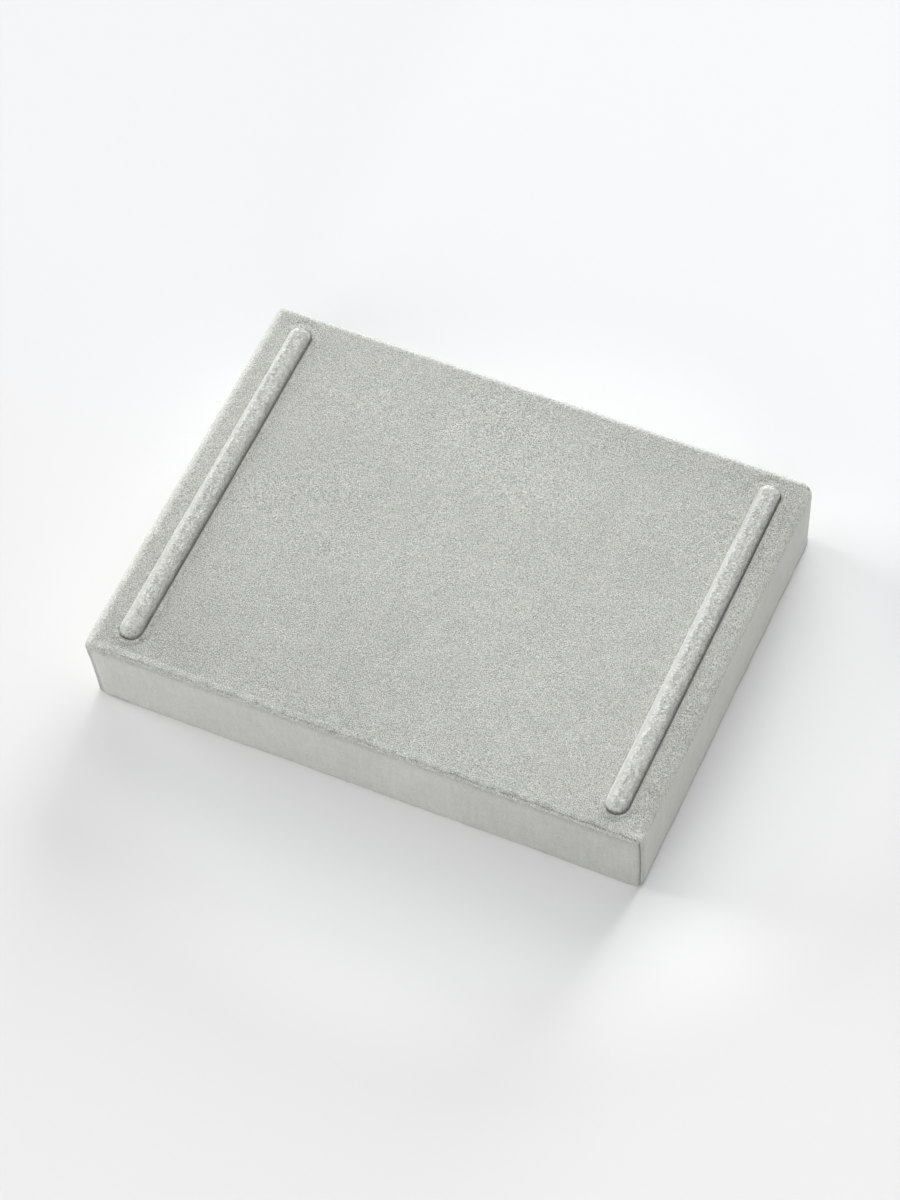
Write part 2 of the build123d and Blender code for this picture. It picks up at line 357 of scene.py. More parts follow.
def build_cover(step=0.72):
    b = Build()
    o = Outline(step, (1.4, 0.9, 0.56, 0.32, 0.15, 0.0))
    ids = lay_grid(b, o, BODY_H)
    first = border(o, ids)
    info = {}          # what each ring's vertices need later
    top_z = BODY_H - EDGE_R
    depth_of = np.array([0.36, 0.50, 0.30, 0.40])     # seam depth at D, C, B, A
    corner_r = np.array([2.1, 1.9, 3.3, 2.2])
    rows = cover_profile(step * 1.15)
    previous, far, last = first, 0.0, None
    xy, out, near, corner = o.ring(-GX, GX, -GY, GY, 0, 0, 0, 0)
    runs_before = [r.copy() for r in o.runs]
    last = np.column_stack([xy, np.full(o.n, BODY_H)])
    rings = []
    for d, z, wall in rows:
        r = np.maximum(corner_r - d, 0.03)
        xy, out, near, corner = o.ring(-LENGTH / 2 + d, LENGTH / 2 - d, -DEPTH / 2 + d, DEPTH / 2 - d, *r)
        k = np.clip((top_z - z) / (top_z - Z_HEM), 0, 1)
        fl, fr, ff, fb = lean(k, xy[:, 1], xy[:, 0])
        # each wall's own lean, shared smoothly round the corners
        hx, hy = LENGTH / 2 - d, DEPTH / 2 - d
        xy = xy.copy()
        xy[:, 0] += fl * np.clip((-xy[:, 0]) / hx, 0, 1) - fr * np.clip(xy[:, 0] / hx, 0, 1)
        xy[:, 1] += ff * np.clip((-xy[:, 1]) / hy, 0, 1) - fb * np.clip(xy[:, 1] / hy, 0, 1)
        p = np.column_stack([xy, np.full(o.n, z)])
        far += float(np.median(np.linalg.norm(p - last, axis=1)))
        vid = b.add(p, pressed=ramp(BODY_H - z, 0.9, 2.2))
        for s in range(4):
            c = o.cols[s]
            b.strip(previous[c], vid[c], developed(o.ring_map(s, runs_before[s], far_before if rings else 0.0)),
                    developed(o.ring_map(s, o.runs[s], far)))
        runs_before, far_before, previous, last = [q.copy() for q in o.runs], far, vid, p
        rings.append((vid, out, near, corner, d, z))
    hem_edge = previous
    # the back of the velour: up behind the hem, along the boards and under the top
    small = lambda uv: (uv - 0.5) * 0.135 + np.array([0.925, 0.075])
    inner_rows = [(HEM_W, Z_HEM + HEM - 0.02), (1.0, Z_HEM + HEM - 0.02), (0.86, Z_HEM + HEM + 0.6), (0.86, top_z), (1.2, top_z + 0.72), (2.05, BODY_H - 0.98)]
    far2 = far_b2 = far
    for n, (d, z) in enumerate(inner_rows[1:]):
        r = np.maximum(corner_r.min() - np.full(4, d), 0.03)
        k = np.clip((top_z - z) / (top_z - Z_HEM), 0, 1)
        lx, ly = 1.3 * k, 1.2 * k
        xy, out, near, corner = o.ring(-LENGTH / 2 + d + lx, LENGTH / 2 - d - lx, -DEPTH / 2 + d + ly, DEPTH / 2 - d - ly, *r)
        p = np.column_stack([xy, np.full(o.n, z)])
        far2 = far_b2 + float(np.median(np.linalg.norm(p - last, axis=1)))
        vid = b.add(p)
        for s in range(4):
            c = o.cols[s]
            b.strip(previous[c], vid[c], small(developed(o.ring_map(s, runs_before[s], far_b2))), small(developed(o.ring_map(s, o.runs[s], far2))), slot=1)
        runs_before, previous, last, far_b2 = [q.copy() for q in o.runs], vid, p, far2
    inner_ring, inner_xy = previous, last[:, :2]
    # into the slots
    loops, slot_rings = [], []
    for side in (-1, 1):
        start, edge = slot_border(o, ids, side)
        n = len(start)
        run = np.concatenate([[0], np.cumsum(np.linalg.norm(np.diff(np.vstack([round_slot(edge, side, SLOT_R), round_slot(edge[:1], side, SLOT_R)]), axis=0), axis=1))])
        run = run / run[-1] * 214 - 107
        loop = np.append(np.arange(n), 0)
        prev, prev_uv = start, developed(edge)[loop]
        rad, hts, flatpart = [], [], []
        outer = MOUTH_R + LIP_R
        for w in (0.2, 0.38, 0.54, 0.68, 0.8, 0.9):
            rad.append(None); hts.append(BODY_H); flatpart.append(w)
        for a in np.linspace(0, math.pi / 2, 7):
            rad.append(MOUTH_R + LIP_R * (1 - math.sin(a))); hts.append(BODY_H - LIP_R * (1 - math.cos(a))); flatpart.append(None)
        for r, z in ((MOUTH_R, 22.45), (MOUTH_R + 0.03, 22.0), (3.37, 21.4), (SLOT_R, 20.6), (SLOT_R, 19.8), (SLOT_R, Z_TUBE)):
            rad.append(r); hts.append(z); flatpart.append(None)
        down = 0.0
        lastz, lastr = BODY_H, outer
        for r, z, w in zip(rad, hts, flatpart):
            if r is None:
                xy = edge * (1 - w) + round_slot(edge, side, outer) * w
                uv = developed(xy)[loop]
                rr = np.full(n, np.nan)
            else:
                xy = round_slot(edge, side, r)
                down += math.hypot(z - lastz, r - lastr)
                lastz, lastr = z, r
                uv = developed(xy)[loop] if down < 0.05 else None
            # deep here is painted shade, darker further down inside the slot
            vid = b.add(np.column_stack([xy, np.full(n, z)]), deep=ramp(BODY_H - z, 0.40, 1.2), pressed=0.0)
            if uv is None:
                # the turned-down edge has a strip of the map to itself
                row = 117.0 if side > 0 else -117.0
                uv = developed(np.stack([run, np.full(n + 1, row + (down - 3) * 0.9 * (1 if side > 0 else -1))], 1))
                if prev_strip is None:
                    prev_strip = developed(np.stack([run, np.full(n + 1, row + (down_before - 3) * 0.9 * (1 if side > 0 else -1))], 1))
                b.strip(prev[loop], vid[loop], prev_strip, uv, flip=True)
                prev_strip = uv
            else:
                b.strip(prev[loop], vid[loop], prev_uv, uv, flip=True)
                prev_uv, prev_strip = uv, None
            down_before = down
            slot_rings.append((vid, side, r, z))
            prev = vid
        # round the cut edge of the tube and up its outside
        for r, z in ((TUBE_R, Z_TUBE), (TUBE_R, BODY_H - 0.98)):
            xy = round_slot(edge, side, r)
            vid = b.add(np.column_stack([xy, np.full(n, z)]))
            down += 1.0 if z == Z_TUBE else 0.8
            uv = developed(np.stack([run, np.full(n + 1, (117.0 + (down - 3) * 0.9) if side > 0 else (-117.0 - (down - 3) * 0.9))], 1))
            b.strip(prev[loop], vid[loop], prev_strip, uv, slot=1, flip=True)
            prev, prev_strip = vid, uv
        loops.append((prev, xy))
    # under the top, from the outer ring to the two slots
    pts = [Vector(p) for p in inner_xy] + [Vector(p) for q in loops for p in q[1]]
    vids = np.concatenate([inner_ring] + [q[0] for q in loops])
    edges, faces, at = [], [], 0
    for m in (len(inner_xy), len(loops[0][1]), len(loops[1][1])):
        edges += [(at + k, at + (k + 1) % m) for k in range(m)]
        at += m
    res = delaunay_2d_cdt(pts, edges, [], 0, 1e-7)
    origin = [v[0] for v in res[3]]
    tri = np.array([[origin[k] for k in f][::-1] for f in res[2]])
    middle = np.array([[p.x, p.y] for p in pts])[tri].mean(1)
    tri = tri[~(within(middle, loops[0][1]) | within(middle, loops[1][1]))]
    flat_xy = np.array([[p.x, p.y] for p in pts])
    b.face(vids[tri], small(developed(flat_xy[tri])), slot=1)
    return b, o, ids, rings, slot_rings, depth_of


b, o, ids, rings, slot_rings, depth_of = build_cover(0.70)
P, M = b.arrays()
slot_edge = np.minimum(slot_distance(P[:, 0], P[:, 1], -1), slot_distance(P[:, 0], P[:, 1], 1)) - (MOUTH_R + LIP_R)
# the front edge is folded tighter than the other three
below, arc = {}, {}                     # how far each ring is below the top, and along its fold
for n, (vid, out, near, corner, d, z) in enumerate(rings):
    tight = 0.6 * np.clip(-out[:, 1], 0, 1) ** 2
    if d <= EDGE_R + 1e-6 and z >= BODY_H - EDGE_R - 1e-6:
        P[vid, :2] += out * (d * tight)[:, None]
        P[vid, 2] += (BODY_H - z) * tight
        below[n] = (BODY_H - z) * (1 - tight)
        arc[n] = math.acos(1 - (BODY_H - z) / EDGE_R) * EDGE_R * (1 - tight)
    else:
        rise = 2 * tight * np.clip(1 - (BODY_H - EDGE_R - z) / 2.4, 0, 1) * (z < BODY_H - EDGE_R)
        P[vid, 2] += rise
        below[n] = BODY_H - z - rise
        arc[n] = EDGE_R - d + 0 * tight if z == BODY_H else below[n] + (math.pi / 2 - 1) * EDGE_R * (1 - tight)
N = normals_of(b, P)
shown = np.zeros(len(P), bool)          # the pile side
shown[ids[ids >= 0]] = True
for vid, *_ in rings:
    shown[vid] = True
for vid, *_ in slot_rings:
    shown[vid] = True
on_top = np.zeros(len(P), bool)
on_top[ids[ids >= 0]] = True
for vid, side, r, z in slot_rings:
    on_top[vid] = True

nap_and_light, pressed, deep = M[:, 0], M[:, 1], M[:, 2]
push = np.zeros(len(P))                 # along the normal, millimetres

# the padded top is never quite flat
top_soft = np.where(shown & (P[:, 2] > 20.5), 1.0, 0.0) * ramp(P[:, 2], 20.5, 22.8)
push += top_soft * (0.10 * noise(P, 38.0, 1) + 0.045 * noise(P, 13.0, 2) + 0.022 * noise(P, 4.2, 3)
                    + 0.016 * noise(P, 1.7, 4))
# the walls: glued velour over board, with faint waves along their length
wall_part = shown & (P[:, 2] < 22.4) & ~on_top
on_wall = np.where(wall_part, ramp(22.4 - P[:, 2], 0, 2.0), 0.0)
push += on_wall * (0.09 * noise(P, (24.0, 24.0, 60.0), 5) + 0.045 * noise(P, (7.0, 7.0, 16.0), 6)
                   + 0.012 * noise(P, (2.2, 2.2, 5.0), 7))
# slack and lumps where the velour turns under
foot = np.where(wall_part, bell(P[:, 2], 0.5, 1.3), 0.0) * (P[:, 2] > 0.31)
push += foot * (0.13 * noise(P, (6.0, 6.0, 9.0), 8) + 0.07 * noise(P, (2.1, 2.1, 6.0), 9))

# round the slots the velour stands up in a low welt, with a shallow dip outside it
for side in (-1, 1):
    d = slot_distance(P[:, 0], P[:, 1], side)
    e = d - (MOUTH_R + LIP_R)
    end = ramp(np.abs(P[:, 1]), BAR_RUN - 2.0, BAR_RUN + 1.5)
    far_end = end * (P[:, 1] > 0)
    rise = (0.05 + 0.11 * end) * bell(e, 0.30, 0.50)
    dip = (0.03 + 0.09 * end) * bell(e, 1.45, 0.55)
    wave = (0.05 * noise(P, (2.2, 3.0, 3.0), 20 + side) + 0.05 * noise(P, (0.9, 0.9, 2.0), 22 + side)) * bell(e, 0.1, 0.9)
    push += np.where(on_top & (d < 12), (rise - dip + wave) * ramp(P[:, 2], 22.6, 23.3), 0)
    # where the pile leans on the bar its lip comes up and over the gap
    shut = np.where(on_top & (d < 8) & (P[:, 2] > 22.3), 1 - gap_open(P[:, 0], P[:, 1], side), 0)
    toward = np.stack([side * BAR_X - P[:, 0], -np.sign(P[:, 1]) * np.maximum(np.abs(P[:, 1]) - BAR_RUN, 0)], 1)
    toward /= np.maximum(np.linalg.norm(toward, axis=1), 1e-9)[:, None]
    slide = shut * (0.80 * (1 - ramp(e, -0.05, 1.7)) - 0.53 * ramp(-e, 0.0, 0.5)) * ramp(P[:, 2], 22.3, 22.9)
    P[:, :2] += toward * slide[:, None]
    P[:, 2] += shut * (0.05 + 0.12 * far_end) * (1 - ramp(e, -0.3, 0.9)) * ramp(P[:, 2], 22.5, 23.2)
    # no painted shade where the lip leans on the bar, and a painted highlight along the lip's edge
    deep = deep * (1 - shut * ramp(P[:, 2], 22.3, 22.8))
    nap_and_light = nap_and_light + np.where(on_top & (d < 8) & (P[:, 2] > 22.6), (0.24 if side < 0 else 0.20) * (1 - shut) * bell(e, 0.1, 0.6) + (0.07 if side < 0 else 0.15) * shut * bell(e, -0.1, 0.5), 0)
    # a second, faint crescent of painted shade outside the near end
    deep = np.maximum(deep, np.where(on_top, 0.16 * end * (P[:, 1] < 0) * bell(e, 1.35, 0.40), 0))
# a small pucker beside the far end of the right slot, with painted shade in its fold
u, v = BAR_X - P[:, 0], P[:, 1] - (BAR_RUN + BAR_R + 0.75)
pucker = np.where(on_top, ramp(u, 0.9, 1.8) * (1 - ramp(u, 3.2, 4.6)) * bell(v - 0.05 * u, 0, 0.32), 0)
push -= 0.16 * pucker
deep = np.maximum(deep, 0.35 * pucker)

P = P + N * push[:, None]

# the pile of the turned-under edge reaches down to what the pad stands on
for vid, out, near, corner, d, z in rings:
    if z < 1.2 and d < 1.5:
        P[vid, 2] -= 0.26 * ramp(1.2 - z, 0, 0.9) * (1 - ramp(d, 0.8, 1.4))
        P[vid, :2] += out * (0.62 * d * (1 - ramp(d, 0.75, 1.4)))
P[:, 2] = np.maximum(P[:, 2], 0.03)

# at the front left the seam lies a little round on the front's side
for vid, out, near, corner, d, z in rings:
    if z > Z_HEM + 0.01:
        turned = 0.40 * ramp(BODY_H - z, 0.5, 2.0) * np.where(corner == 0, 1 - ramp(near, 0.7, 2.6), 0)
        c = P[vid, :2].min(0) + 2.1
        at = P[vid, :2] - c
        P[vid, :2] = c + np.stack([at[:, 0] * np.cos(turned) - at[:, 1] * np.sin(turned), at[:, 0] * np.sin(turned) + at[:, 1] * np.cos(turned)], 1)

# butt seams at the corners: each vertex near a corner goes in along the diagonal
diag = np.array([[-1, -1], [1, -1], [1, 1], [-1, 1]]) / math.sqrt(2)
from_seam = np.full(len(P), 99.0)
for vid, out, near, corner, d, z in rings:
    from_seam[vid] = near
    start = np.where(corner == 2, ramp(BODY_H - z, 3.5, 6.5), ramp(BODY_H - z, 0.6, 1.8))
    depth = depth_of[corner] * start
    right_side = (corner == 1) & (out[:, 0] > -out[:, 1])
    shape = 1 - ramp(near, 0.02, 0.17)
    curl = 0.04 * bell(near, 0.45, 0.22) * start
    wander = 0.07 * noise(P[vid] + np.array([7.0, 3.0, 0.0]), 2.0, 30) + 0.20 * math.sin(
        math.pi * min(max((BODY_H - z) / BODY_H, 0.0), 1.0)) * (corner == 1)
    if z <= Z_HEM + 0.25:
        # the mitre under the hem opens upwards
        P[vid, 2] += np.where(d < HEM_W - 0.05, 0.62, 0.0) * (1 - ramp(near, 0.05, 0.42))
    else:
        P[vid, :2] -= diag[corner] * (depth * shape - curl)[:, None]
        P[vid, :2] += (np.stack([-diag[corner][:, 1], diag[corner][:, 0]], 1)) * (wander * (1 - ramp(near, 0.8, 2.2)))[:, None]
    # painted shade in the seams, strongest at the front right corner, and a painted highlight on the roll just right of
    # that seam
    seam_shade = np.where(corner == 1, 0.88, 0.62) + 0.25 * noise(P[vid], (1.0, 1.0, 0.9), 31)
    deep[vid] = np.maximum(deep[vid], seam_shade * start * (1 - ramp(near, 0.04, np.where(right_side, 0.15, 0.24))))
    nap_and_light[vid] += 0.08 * start * right_side * bell(near, 0.7, 0.5)
    from_seam[vid] = np.where(right_side | (corner == 2), 99.0, near)

# the pile parts along the fold of the front edge
crease = np.zeros(len(P))
for n, (vid, out, near, corner, d, z) in enumerate(rings):
    front = np.clip(-out[:, 1], 0, 1) ** 2 * (P[vid, 1] < 0)
    g = below[n]
    along = P[vid] * np.array([1, 0, 0])
    jag = 0.17 * noise(along, 0.8, 40) + 0.10 * noise(along, 5.0, 41)
    broken = 0.15 + 0.85 * ramp(noise(along, 0.9, 42) + 0.5 * noise(along, 7.0, 43) + 0.006 * P[vid, 0], -0.4, 0.5)
    here = bell(arc[n] + jag, 0.20, 0.175) * front
    crease[vid] = here * broken
    P[vid] -= np.column_stack([out, np.ones(len(out)) * 0.6]) * (0.12 * here * broken)[:, None]
    # painted shade along the parting, together with the darker ground where the pile splits
    deep[vid] = np.maximum(deep[vid], (0.44 + 0.20 * ramp(P[vid, 0], 10, 60)) * here * broken)
    lip_up = bell(d, 1.5, 0.8) * (g < 0.5) * front * (1 + 0.5 * noise(along, 1.3, 44))
    P[vid] += np.column_stack([out * 0.6, np.ones(len(out))]) * (0.06 * lip_up)[:, None]
    # the raised lip is darker towards the right, and the fold just below the parting has a painted highlight
    nap_and_light[vid] += (-0.03 - 0.07 * ramp(P[vid, 0], -45, 45)) * lip_up + 0.10 * bell(arc[n], 0.95, 0.40) * front
    if z > 17.0:
        # where the loose pile of the top gives way to the brushed pile of the walls
        pressed[vid] = ramp(g + 0.45 * noise(P[vid], 2.4, 45), 0.9, 2.3)

# the turned-under edge near the front left corner sits a little higher, with a small step
for vid, out, near, corner, d, z in rings:
    if z < 1.6:
        on_front = (P[vid, 1] < -50) & (out[:, 1] < -0.4)
        u = P[vid, 0] + LENGTH / 2
        P[vid, 2] += np.where(on_front, 0.42 * (1 - ramp(u, 10.5, 12.5)) + 0.14 * bell(u, 13.2, 0.6), 0) * (1 if d < 1.5 else 0)

# the padded edge falls away softly, most of all on the right, but stays crisp along the front
fall = np.maximum(0.75 * ramp(P[:, 0], LENGTH / 2 - 5.4, LENGTH / 2) ** 1.3, 0.50 * ramp(-P[:, 0], LENGTH / 2 - 4.2, LENGTH / 2) ** 1.4)
fall = np.maximum(fall, 0.34 * ramp(P[:, 1], DEPTH / 2 - 3.4, DEPTH / 2) ** 1.5)
P[:, 2] -= np.where(shown, fall * ramp(P[:, 2], 19.0, 22.5) * ramp(P[:, 1], -DEPTH / 2 - 1, -DEPTH / 2 + 6), 0)

# corners B and D are softer than the others
for cx, cy, depth, wide, inward in ((LENGTH / 2, DEPTH / 2, 0.55, 4.2, 0.22), (-LENGTH / 2, -DEPTH / 2, 0.75, 4.0, 0.22)):
    away = (P[:, 0] - cx) ** 2 + (P[:, 1] - cy) ** 2
    P[:, 2] -= np.where(shown & (P[:, 2] > 15), depth * np.exp(-away / wide ** 2) * ramp(P[:, 2], 15, 23), 0)
    P[:, :2] -= np.sign([[cx, cy]]) * (inward / math.sqrt(2) * np.exp(-away / 3.0 ** 2) * ramp(P[:, 2], 0.5, 9.0))[:, None]

# painted light on the top: a little lighter over the middle and towards the back, darker towards the corners and at the
# front left
flat = on_top & (P[:, 2] > 22.0)
nap_and_light = nap_and_light + np.where(flat, -0.04 + 0.03 * ramp(P[:, 1], 10, 50) - 0.05 * ((P[:, 0] / 75) ** 2 + (P[:, 1] / 58) ** 2) - 0.05 * ramp(-P[:, 1], 0, 45) * (1 - ramp(P[:, 0], -10, 40)), 0)
# the walls are paler, partly from their brushed pile and partly as painted light, and a painted light lifts the foot
nap_and_light = nap_and_light + np.where(shown & ~on_top, 0.05 * ramp(22.0 - P[:, 2], 0, 1.5) + 0.19 * (1 - ramp(P[:, 2], 0.2, 0.9)), 0)
# painted highlights where the pile bends over the far and left edges
over_far = ramp(P[:, 1], DEPTH / 2 - 2.6, DEPTH / 2 - 0.2)
over_left = ramp(-P[:, 0], LENGTH / 2 - 3.0, LENGTH / 2 - 0.3)
nap_and_light = nap_and_light + np.where(shown, np.maximum(0.36 * over_far, 0.19 * over_left) * ramp(P[:, 2], 19.5, 21.5), 0)
# painted light on the fold of the right edge
over_right = ramp(P[:, 0], LENGTH / 2 - 1.9, LENGTH / 2 - 0.7) * ramp(P[:, 2], 20.2, 21.6)
nap_and_light = nap_and_light + np.where(shown, 0.19 * over_right, 0)
# painted light on the right wall, more towards the back
right_wall = ramp(P[:, 0], LENGTH / 2 - 2.5, LENGTH / 2 - 1.5) * ramp(21.5 - P[:, 2], 0, 1.5)
nap_and_light = nap_and_light + np.where(shown & ~on_top, right_wall * (0.02 + 0.04 * ramp(P[:, 1], -30, 55)), 0)
# the far right of the top and a patch near the front left corner are a little darker
nap_and_light = nap_and_light - np.where(flat, 0.07 * ramp(P[:, 1], 32, 54) * ramp(P[:, 0], -30, 15) + 0.10 * bell(P[:, 0], -55.0, 9.0) * bell(P[:, 1], -50.0, 7.0), 0)
# painted light on the front wall: lighter towards its left end, darker towards its right
front_wall = ramp(-P[:, 1], DEPTH / 2 - 3.5, DEPTH / 2 - 2.5) * ramp(23.0 - P[:, 2], 0, 1.0)
nap_and_light = nap_and_light + np.where(shown & ~on_top, front_wall * (0.01 - 0.05 * P[:, 0] / 77 - 0.09 * ramp(P[:, 0], 10, 70)), 0)
# painted light on a paler strip outside the right slot, broken by ruffled darker patches, where the pile has more grain
outside = ramp(P[:, 0], BAR_X + 3.4, BAR_X + 4.6) * ramp(P[:, 2], 21.6, 22.8)
ruffle = ramp(noise(P, (1.9, 2.8, 2.0), 46) + 0.6 * noise(P, (4.0, 11.0, 4.0), 47), -0.3, 0.7)
nap_and_light = nap_and_light + np.where(shown, outside * (0.06 - 0.09 * ruffle), 0)
pressed = pressed - 0.20 * np.where(shown, outside, 0)
P = P + N * (np.where(shown, outside * 0.07 * noise(P, (1.5, 1.8, 1.5), 48), 0))[:, None]

marks = np.stack([nap_and_light, pressed, deep], 1)


# ---------------------------------------------------------------- materials
def nodes_of(mat):
    mat.use_nodes = True
    nt = mat.node_tree
    nt.nodes.clear()
    out = nt.nodes.new("ShaderNodeOutputMaterial")
    sh = nt.nodes.new("ShaderNodeBsdfPrincipled")
    nt.links.new(sh.outputs[0], out.inputs["Surface"])
    return nt, sh


def node(nt, kind, **values):
    n = nt.nodes.new(kind)
    for k, v in values.items():
        if hasattr(n, k) and k not in n.inputs:
            setattr(n, k, v)
        else:
            n.inputs[k].default_value = v
    return n


def texture(nt, where, size_mm, detail=2.0, rough=0.5, stretch=None, distortion=0.0):
    """Noise with lumps of about this size, read from the piece's own coordinates."""
    vec = where
    if stretch:
        mp = nt.nodes.new("ShaderNodeMapping")
        mp.inputs["Scale"].default_value = stretch
        nt.links.new(where, mp.inputs["Vector"])
        vec = mp.outputs[0]
    n = nt.nodes.new("ShaderNodeTexNoise")
    n.inputs["Scale"].default_value = 1000.0 / size_mm
    n.inputs["Detail"].default_value = detail
    n.inputs["Roughness"].default_value = rough
    n.inputs["Distortion"].default_value = distortion
    nt.links.new(vec, n.inputs["Vector"])
    return n.outputs["Fac"]


def math_node(nt, op, a, b=None, c=None, clamp=False):
    n = nt.nodes.new("ShaderNodeMath")
    n.operation, n.use_clamp = op, clamp
    for k, v in enumerate((a, b, c)):
        if v is None:
            continue
        if isinstance(v, (int, float)):
            n.inputs[k].default_value = v
        else:
            nt.links.new(v, n.inputs[k])
    return n.outputs[0]


def mix_colour(nt, fac, a, b):
    n = nt.nodes.new("ShaderNodeMix")
    n.data_type = "RGBA"
    for sock, v in ((n.inputs[0], fac), (n.inputs[6], a), (n.inputs[7], b)):
        if isinstance(v, (tuple, float, int)):
            sock.default_value = v
        else:
            nt.links.new(v, sock)
    return n.outputs[2]


def attribute(nt, name):
    n = nt.nodes.new("ShaderNodeAttribute")
    n.attribute_name = name
    return n.outputs["Fac"]


def scaled(nt, value, low, high):
    """A noise value spread over low to high."""
    n = nt.nodes.new("ShaderNodeMapRange")
    n.inputs["From Min"].default_value, n.inputs["From Max"].default_value = 0.3, 0.7
    n.inputs["To Min"].default_value, n.inputs["To Max"].default_value = low, high
    nt.links.new(value, n.inputs["Value"])
    return n.outputs[0]


LIGHT_C = (0.680, 0.687, 0.647, 1)
MID_C = (0.468, 0.474, 0.444, 1)
DARK_C = (0.240, 0.244, 0.227, 1)
# the colour of painted shade
DEEP_C = (0.105, 0.106, 0.097, 1)


def cooler(colour, k):
    return colour[:2] + (colour[2] * (1 + k), 1)


def velour_material(name, grain=1.0, bump=0.00016, sheen=0.35, strokes=None, cool=0.0):
    mat = bpy.data.materials.new(name)
    nt, sh = nodes_of(mat)
    where = nt.nodes.new("ShaderNodeTexCoord").outputs["Object"]
    tips = texture(nt, where, 0.30, 1.0, 0.5, strokes)
    clumps = texture(nt, where, 0.8, 2.0, 0.55)
    lumps = texture(nt, where, 2.6, 2.0, 0.5)
    nap = texture(nt, where, 11.0, 3.0, 0.55, distortion=0.6)
    wide = texture(nt, where, 42.0, 2.0, 0.5)
    down = texture(nt, where, 1.1, 2.0, 0.5, stretch=(1.0, 1.0, 0.12))
    press = attribute(nt, "pressed")
    loose = math_node(nt, "SUBTRACT", 1.0, press)
    deep_at = attribute(nt, "deep")
    nap_and_light_at = attribute(nt, "nap_and_light")
    # lightness of the pile: grains on the top, faint streaks on the walls, and the nap with its painted light and shade
    # from the mesh
    t = scaled(nt, tips, -0.5, 0.5)
    t = math_node(nt, "MULTIPLY", t, math_node(nt, "MULTIPLY_ADD", loose, 0.68 * grain, 0.22 * grain))
    t = math_node(nt, "MULTIPLY_ADD", scaled(nt, clumps, -0.5, 0.5), math_node(nt, "MULTIPLY_ADD", loose, 0.20 * grain, 0.05), t)
    t = math_node(nt, "MULTIPLY_ADD", scaled(nt, lumps, -0.5, 0.5), 0.05, t)
    t = math_node(nt, "MULTIPLY_ADD", scaled(nt, nap, -0.5, 0.5), 0.06, t)
    t = math_node(nt, "MULTIPLY_ADD", scaled(nt, wide, -0.5, 0.5), 0.05, t)
    streak = math_node(nt, "MULTIPLY", scaled(nt, down, -0.5, 0.5), math_node(nt, "MULTIPLY", press, 0.08))
    t = math_node(nt, "ADD", t, streak)
    t = math_node(nt, "ADD", t, nap_and_light_at)
    t = math_node(nt, "ADD", t, 0.5, clamp=True)
    low = mix_colour(nt, math_node(nt, "MULTIPLY", t, 2.0, clamp=True), cooler(DARK_C, cool), cooler(MID_C, cool))
    col = mix_colour(nt, math_node(nt, "MULTIPLY_ADD", t, 2.0, -1.0, clamp=True), low, cooler(LIGHT_C, cool))
    # painted shade from the deep mark, in slots, seams, creases and gaps, darkest between the grains
    painted_shade = math_node(nt, "MULTIPLY", deep_at, math_node(nt, "MULTIPLY_ADD", tips, -1.2, 1.45), clamp=True)
    col = mix_colour(nt, painted_shade, col, DEEP_C)
    nt.links.new(col, sh.inputs["Base Color"])
    rough = math_node(nt, "MULTIPLY_ADD", tips, 0.12, 0.86, clamp=True)
    nt.links.new(rough, sh.inputs["Roughness"])
    sh.inputs["Specular IOR Level"].default_value = 0.15
    sh.inputs["Sheen Weight"].default_value = sheen
    sh.inputs["Sheen Roughness"].default_value = 0.45
    sh.inputs["Sheen Tint"].default_value = (0.95, 0.96, 0.93, 1)
    h = math_node(nt, "MULTIPLY", tips, math_node(nt, "MULTIPLY_ADD", loose, 0.75, 0.25))
    h = math_node(nt, "MULTIPLY_ADD", clumps, math_node(nt, "MULTIPLY_ADD", loose, 0.6, 0.2), h)
    h = math_node(nt, "MULTIPLY_ADD", lumps, 0.5, h)
    bp = nt.nodes.new("ShaderNodeBump")
    bp.inputs["Strength"].default_value = 1.0
    bp.inputs["Distance"].default_value = bump
    nt.links.new(h, bp.inputs["Height"])
    nt.links.new(bp.outputs[0], sh.inputs["Normal"])
    return mat


def weave_material(name, light, dark, thread=0.35):
    """The knitted back of the velour."""
    mat = bpy.data.materials.new(name)
    nt, sh = nodes_of(mat)
    where = nt.nodes.new("ShaderNodeTexCoord").outputs["Object"]
    heights = []
    for axis in ("X", "Y"):
        w = nt.nodes.new("ShaderNodeTexWave")
        w.wave_type, w.bands_direction = "BANDS", axis
        w.inputs["Scale"].default_value = 1000.0 / thread / 6.2832 * 2
        w.inputs["Distortion"].default_value = 1.2
        w.inputs["Detail"].default_value = 1.0
        nt.links.new(where, w.inputs["Vector"])
        heights.append(w.outputs["Fac"])
    h = math_node(nt, "MULTIPLY", heights[0], heights[1])
    fuzz = texture(nt, where, 0.6, 3.0, 0.6)
    t = math_node(nt, "ADD", math_node(nt, "MULTIPLY", h, 0.6), math_node(nt, "MULTIPLY", fuzz, 0.4))
    nt.links.new(mix_colour(nt, t, dark, light), sh.inputs["Base Color"])
    nt.links.new(math_node(nt, "MULTIPLY_ADD", fuzz, 0.1, 0.85), sh.inputs["Roughness"])
    sh.inputs["Specular IOR Level"].default_value = 0.2
    bp = nt.nodes.new("ShaderNodeBump")
    bp.inputs["Distance"].default_value = 0.0001
    nt.links.new(t, bp.inputs["Height"])
    nt.links.new(bp.outputs[0], sh.inputs["Normal"])
    return mat


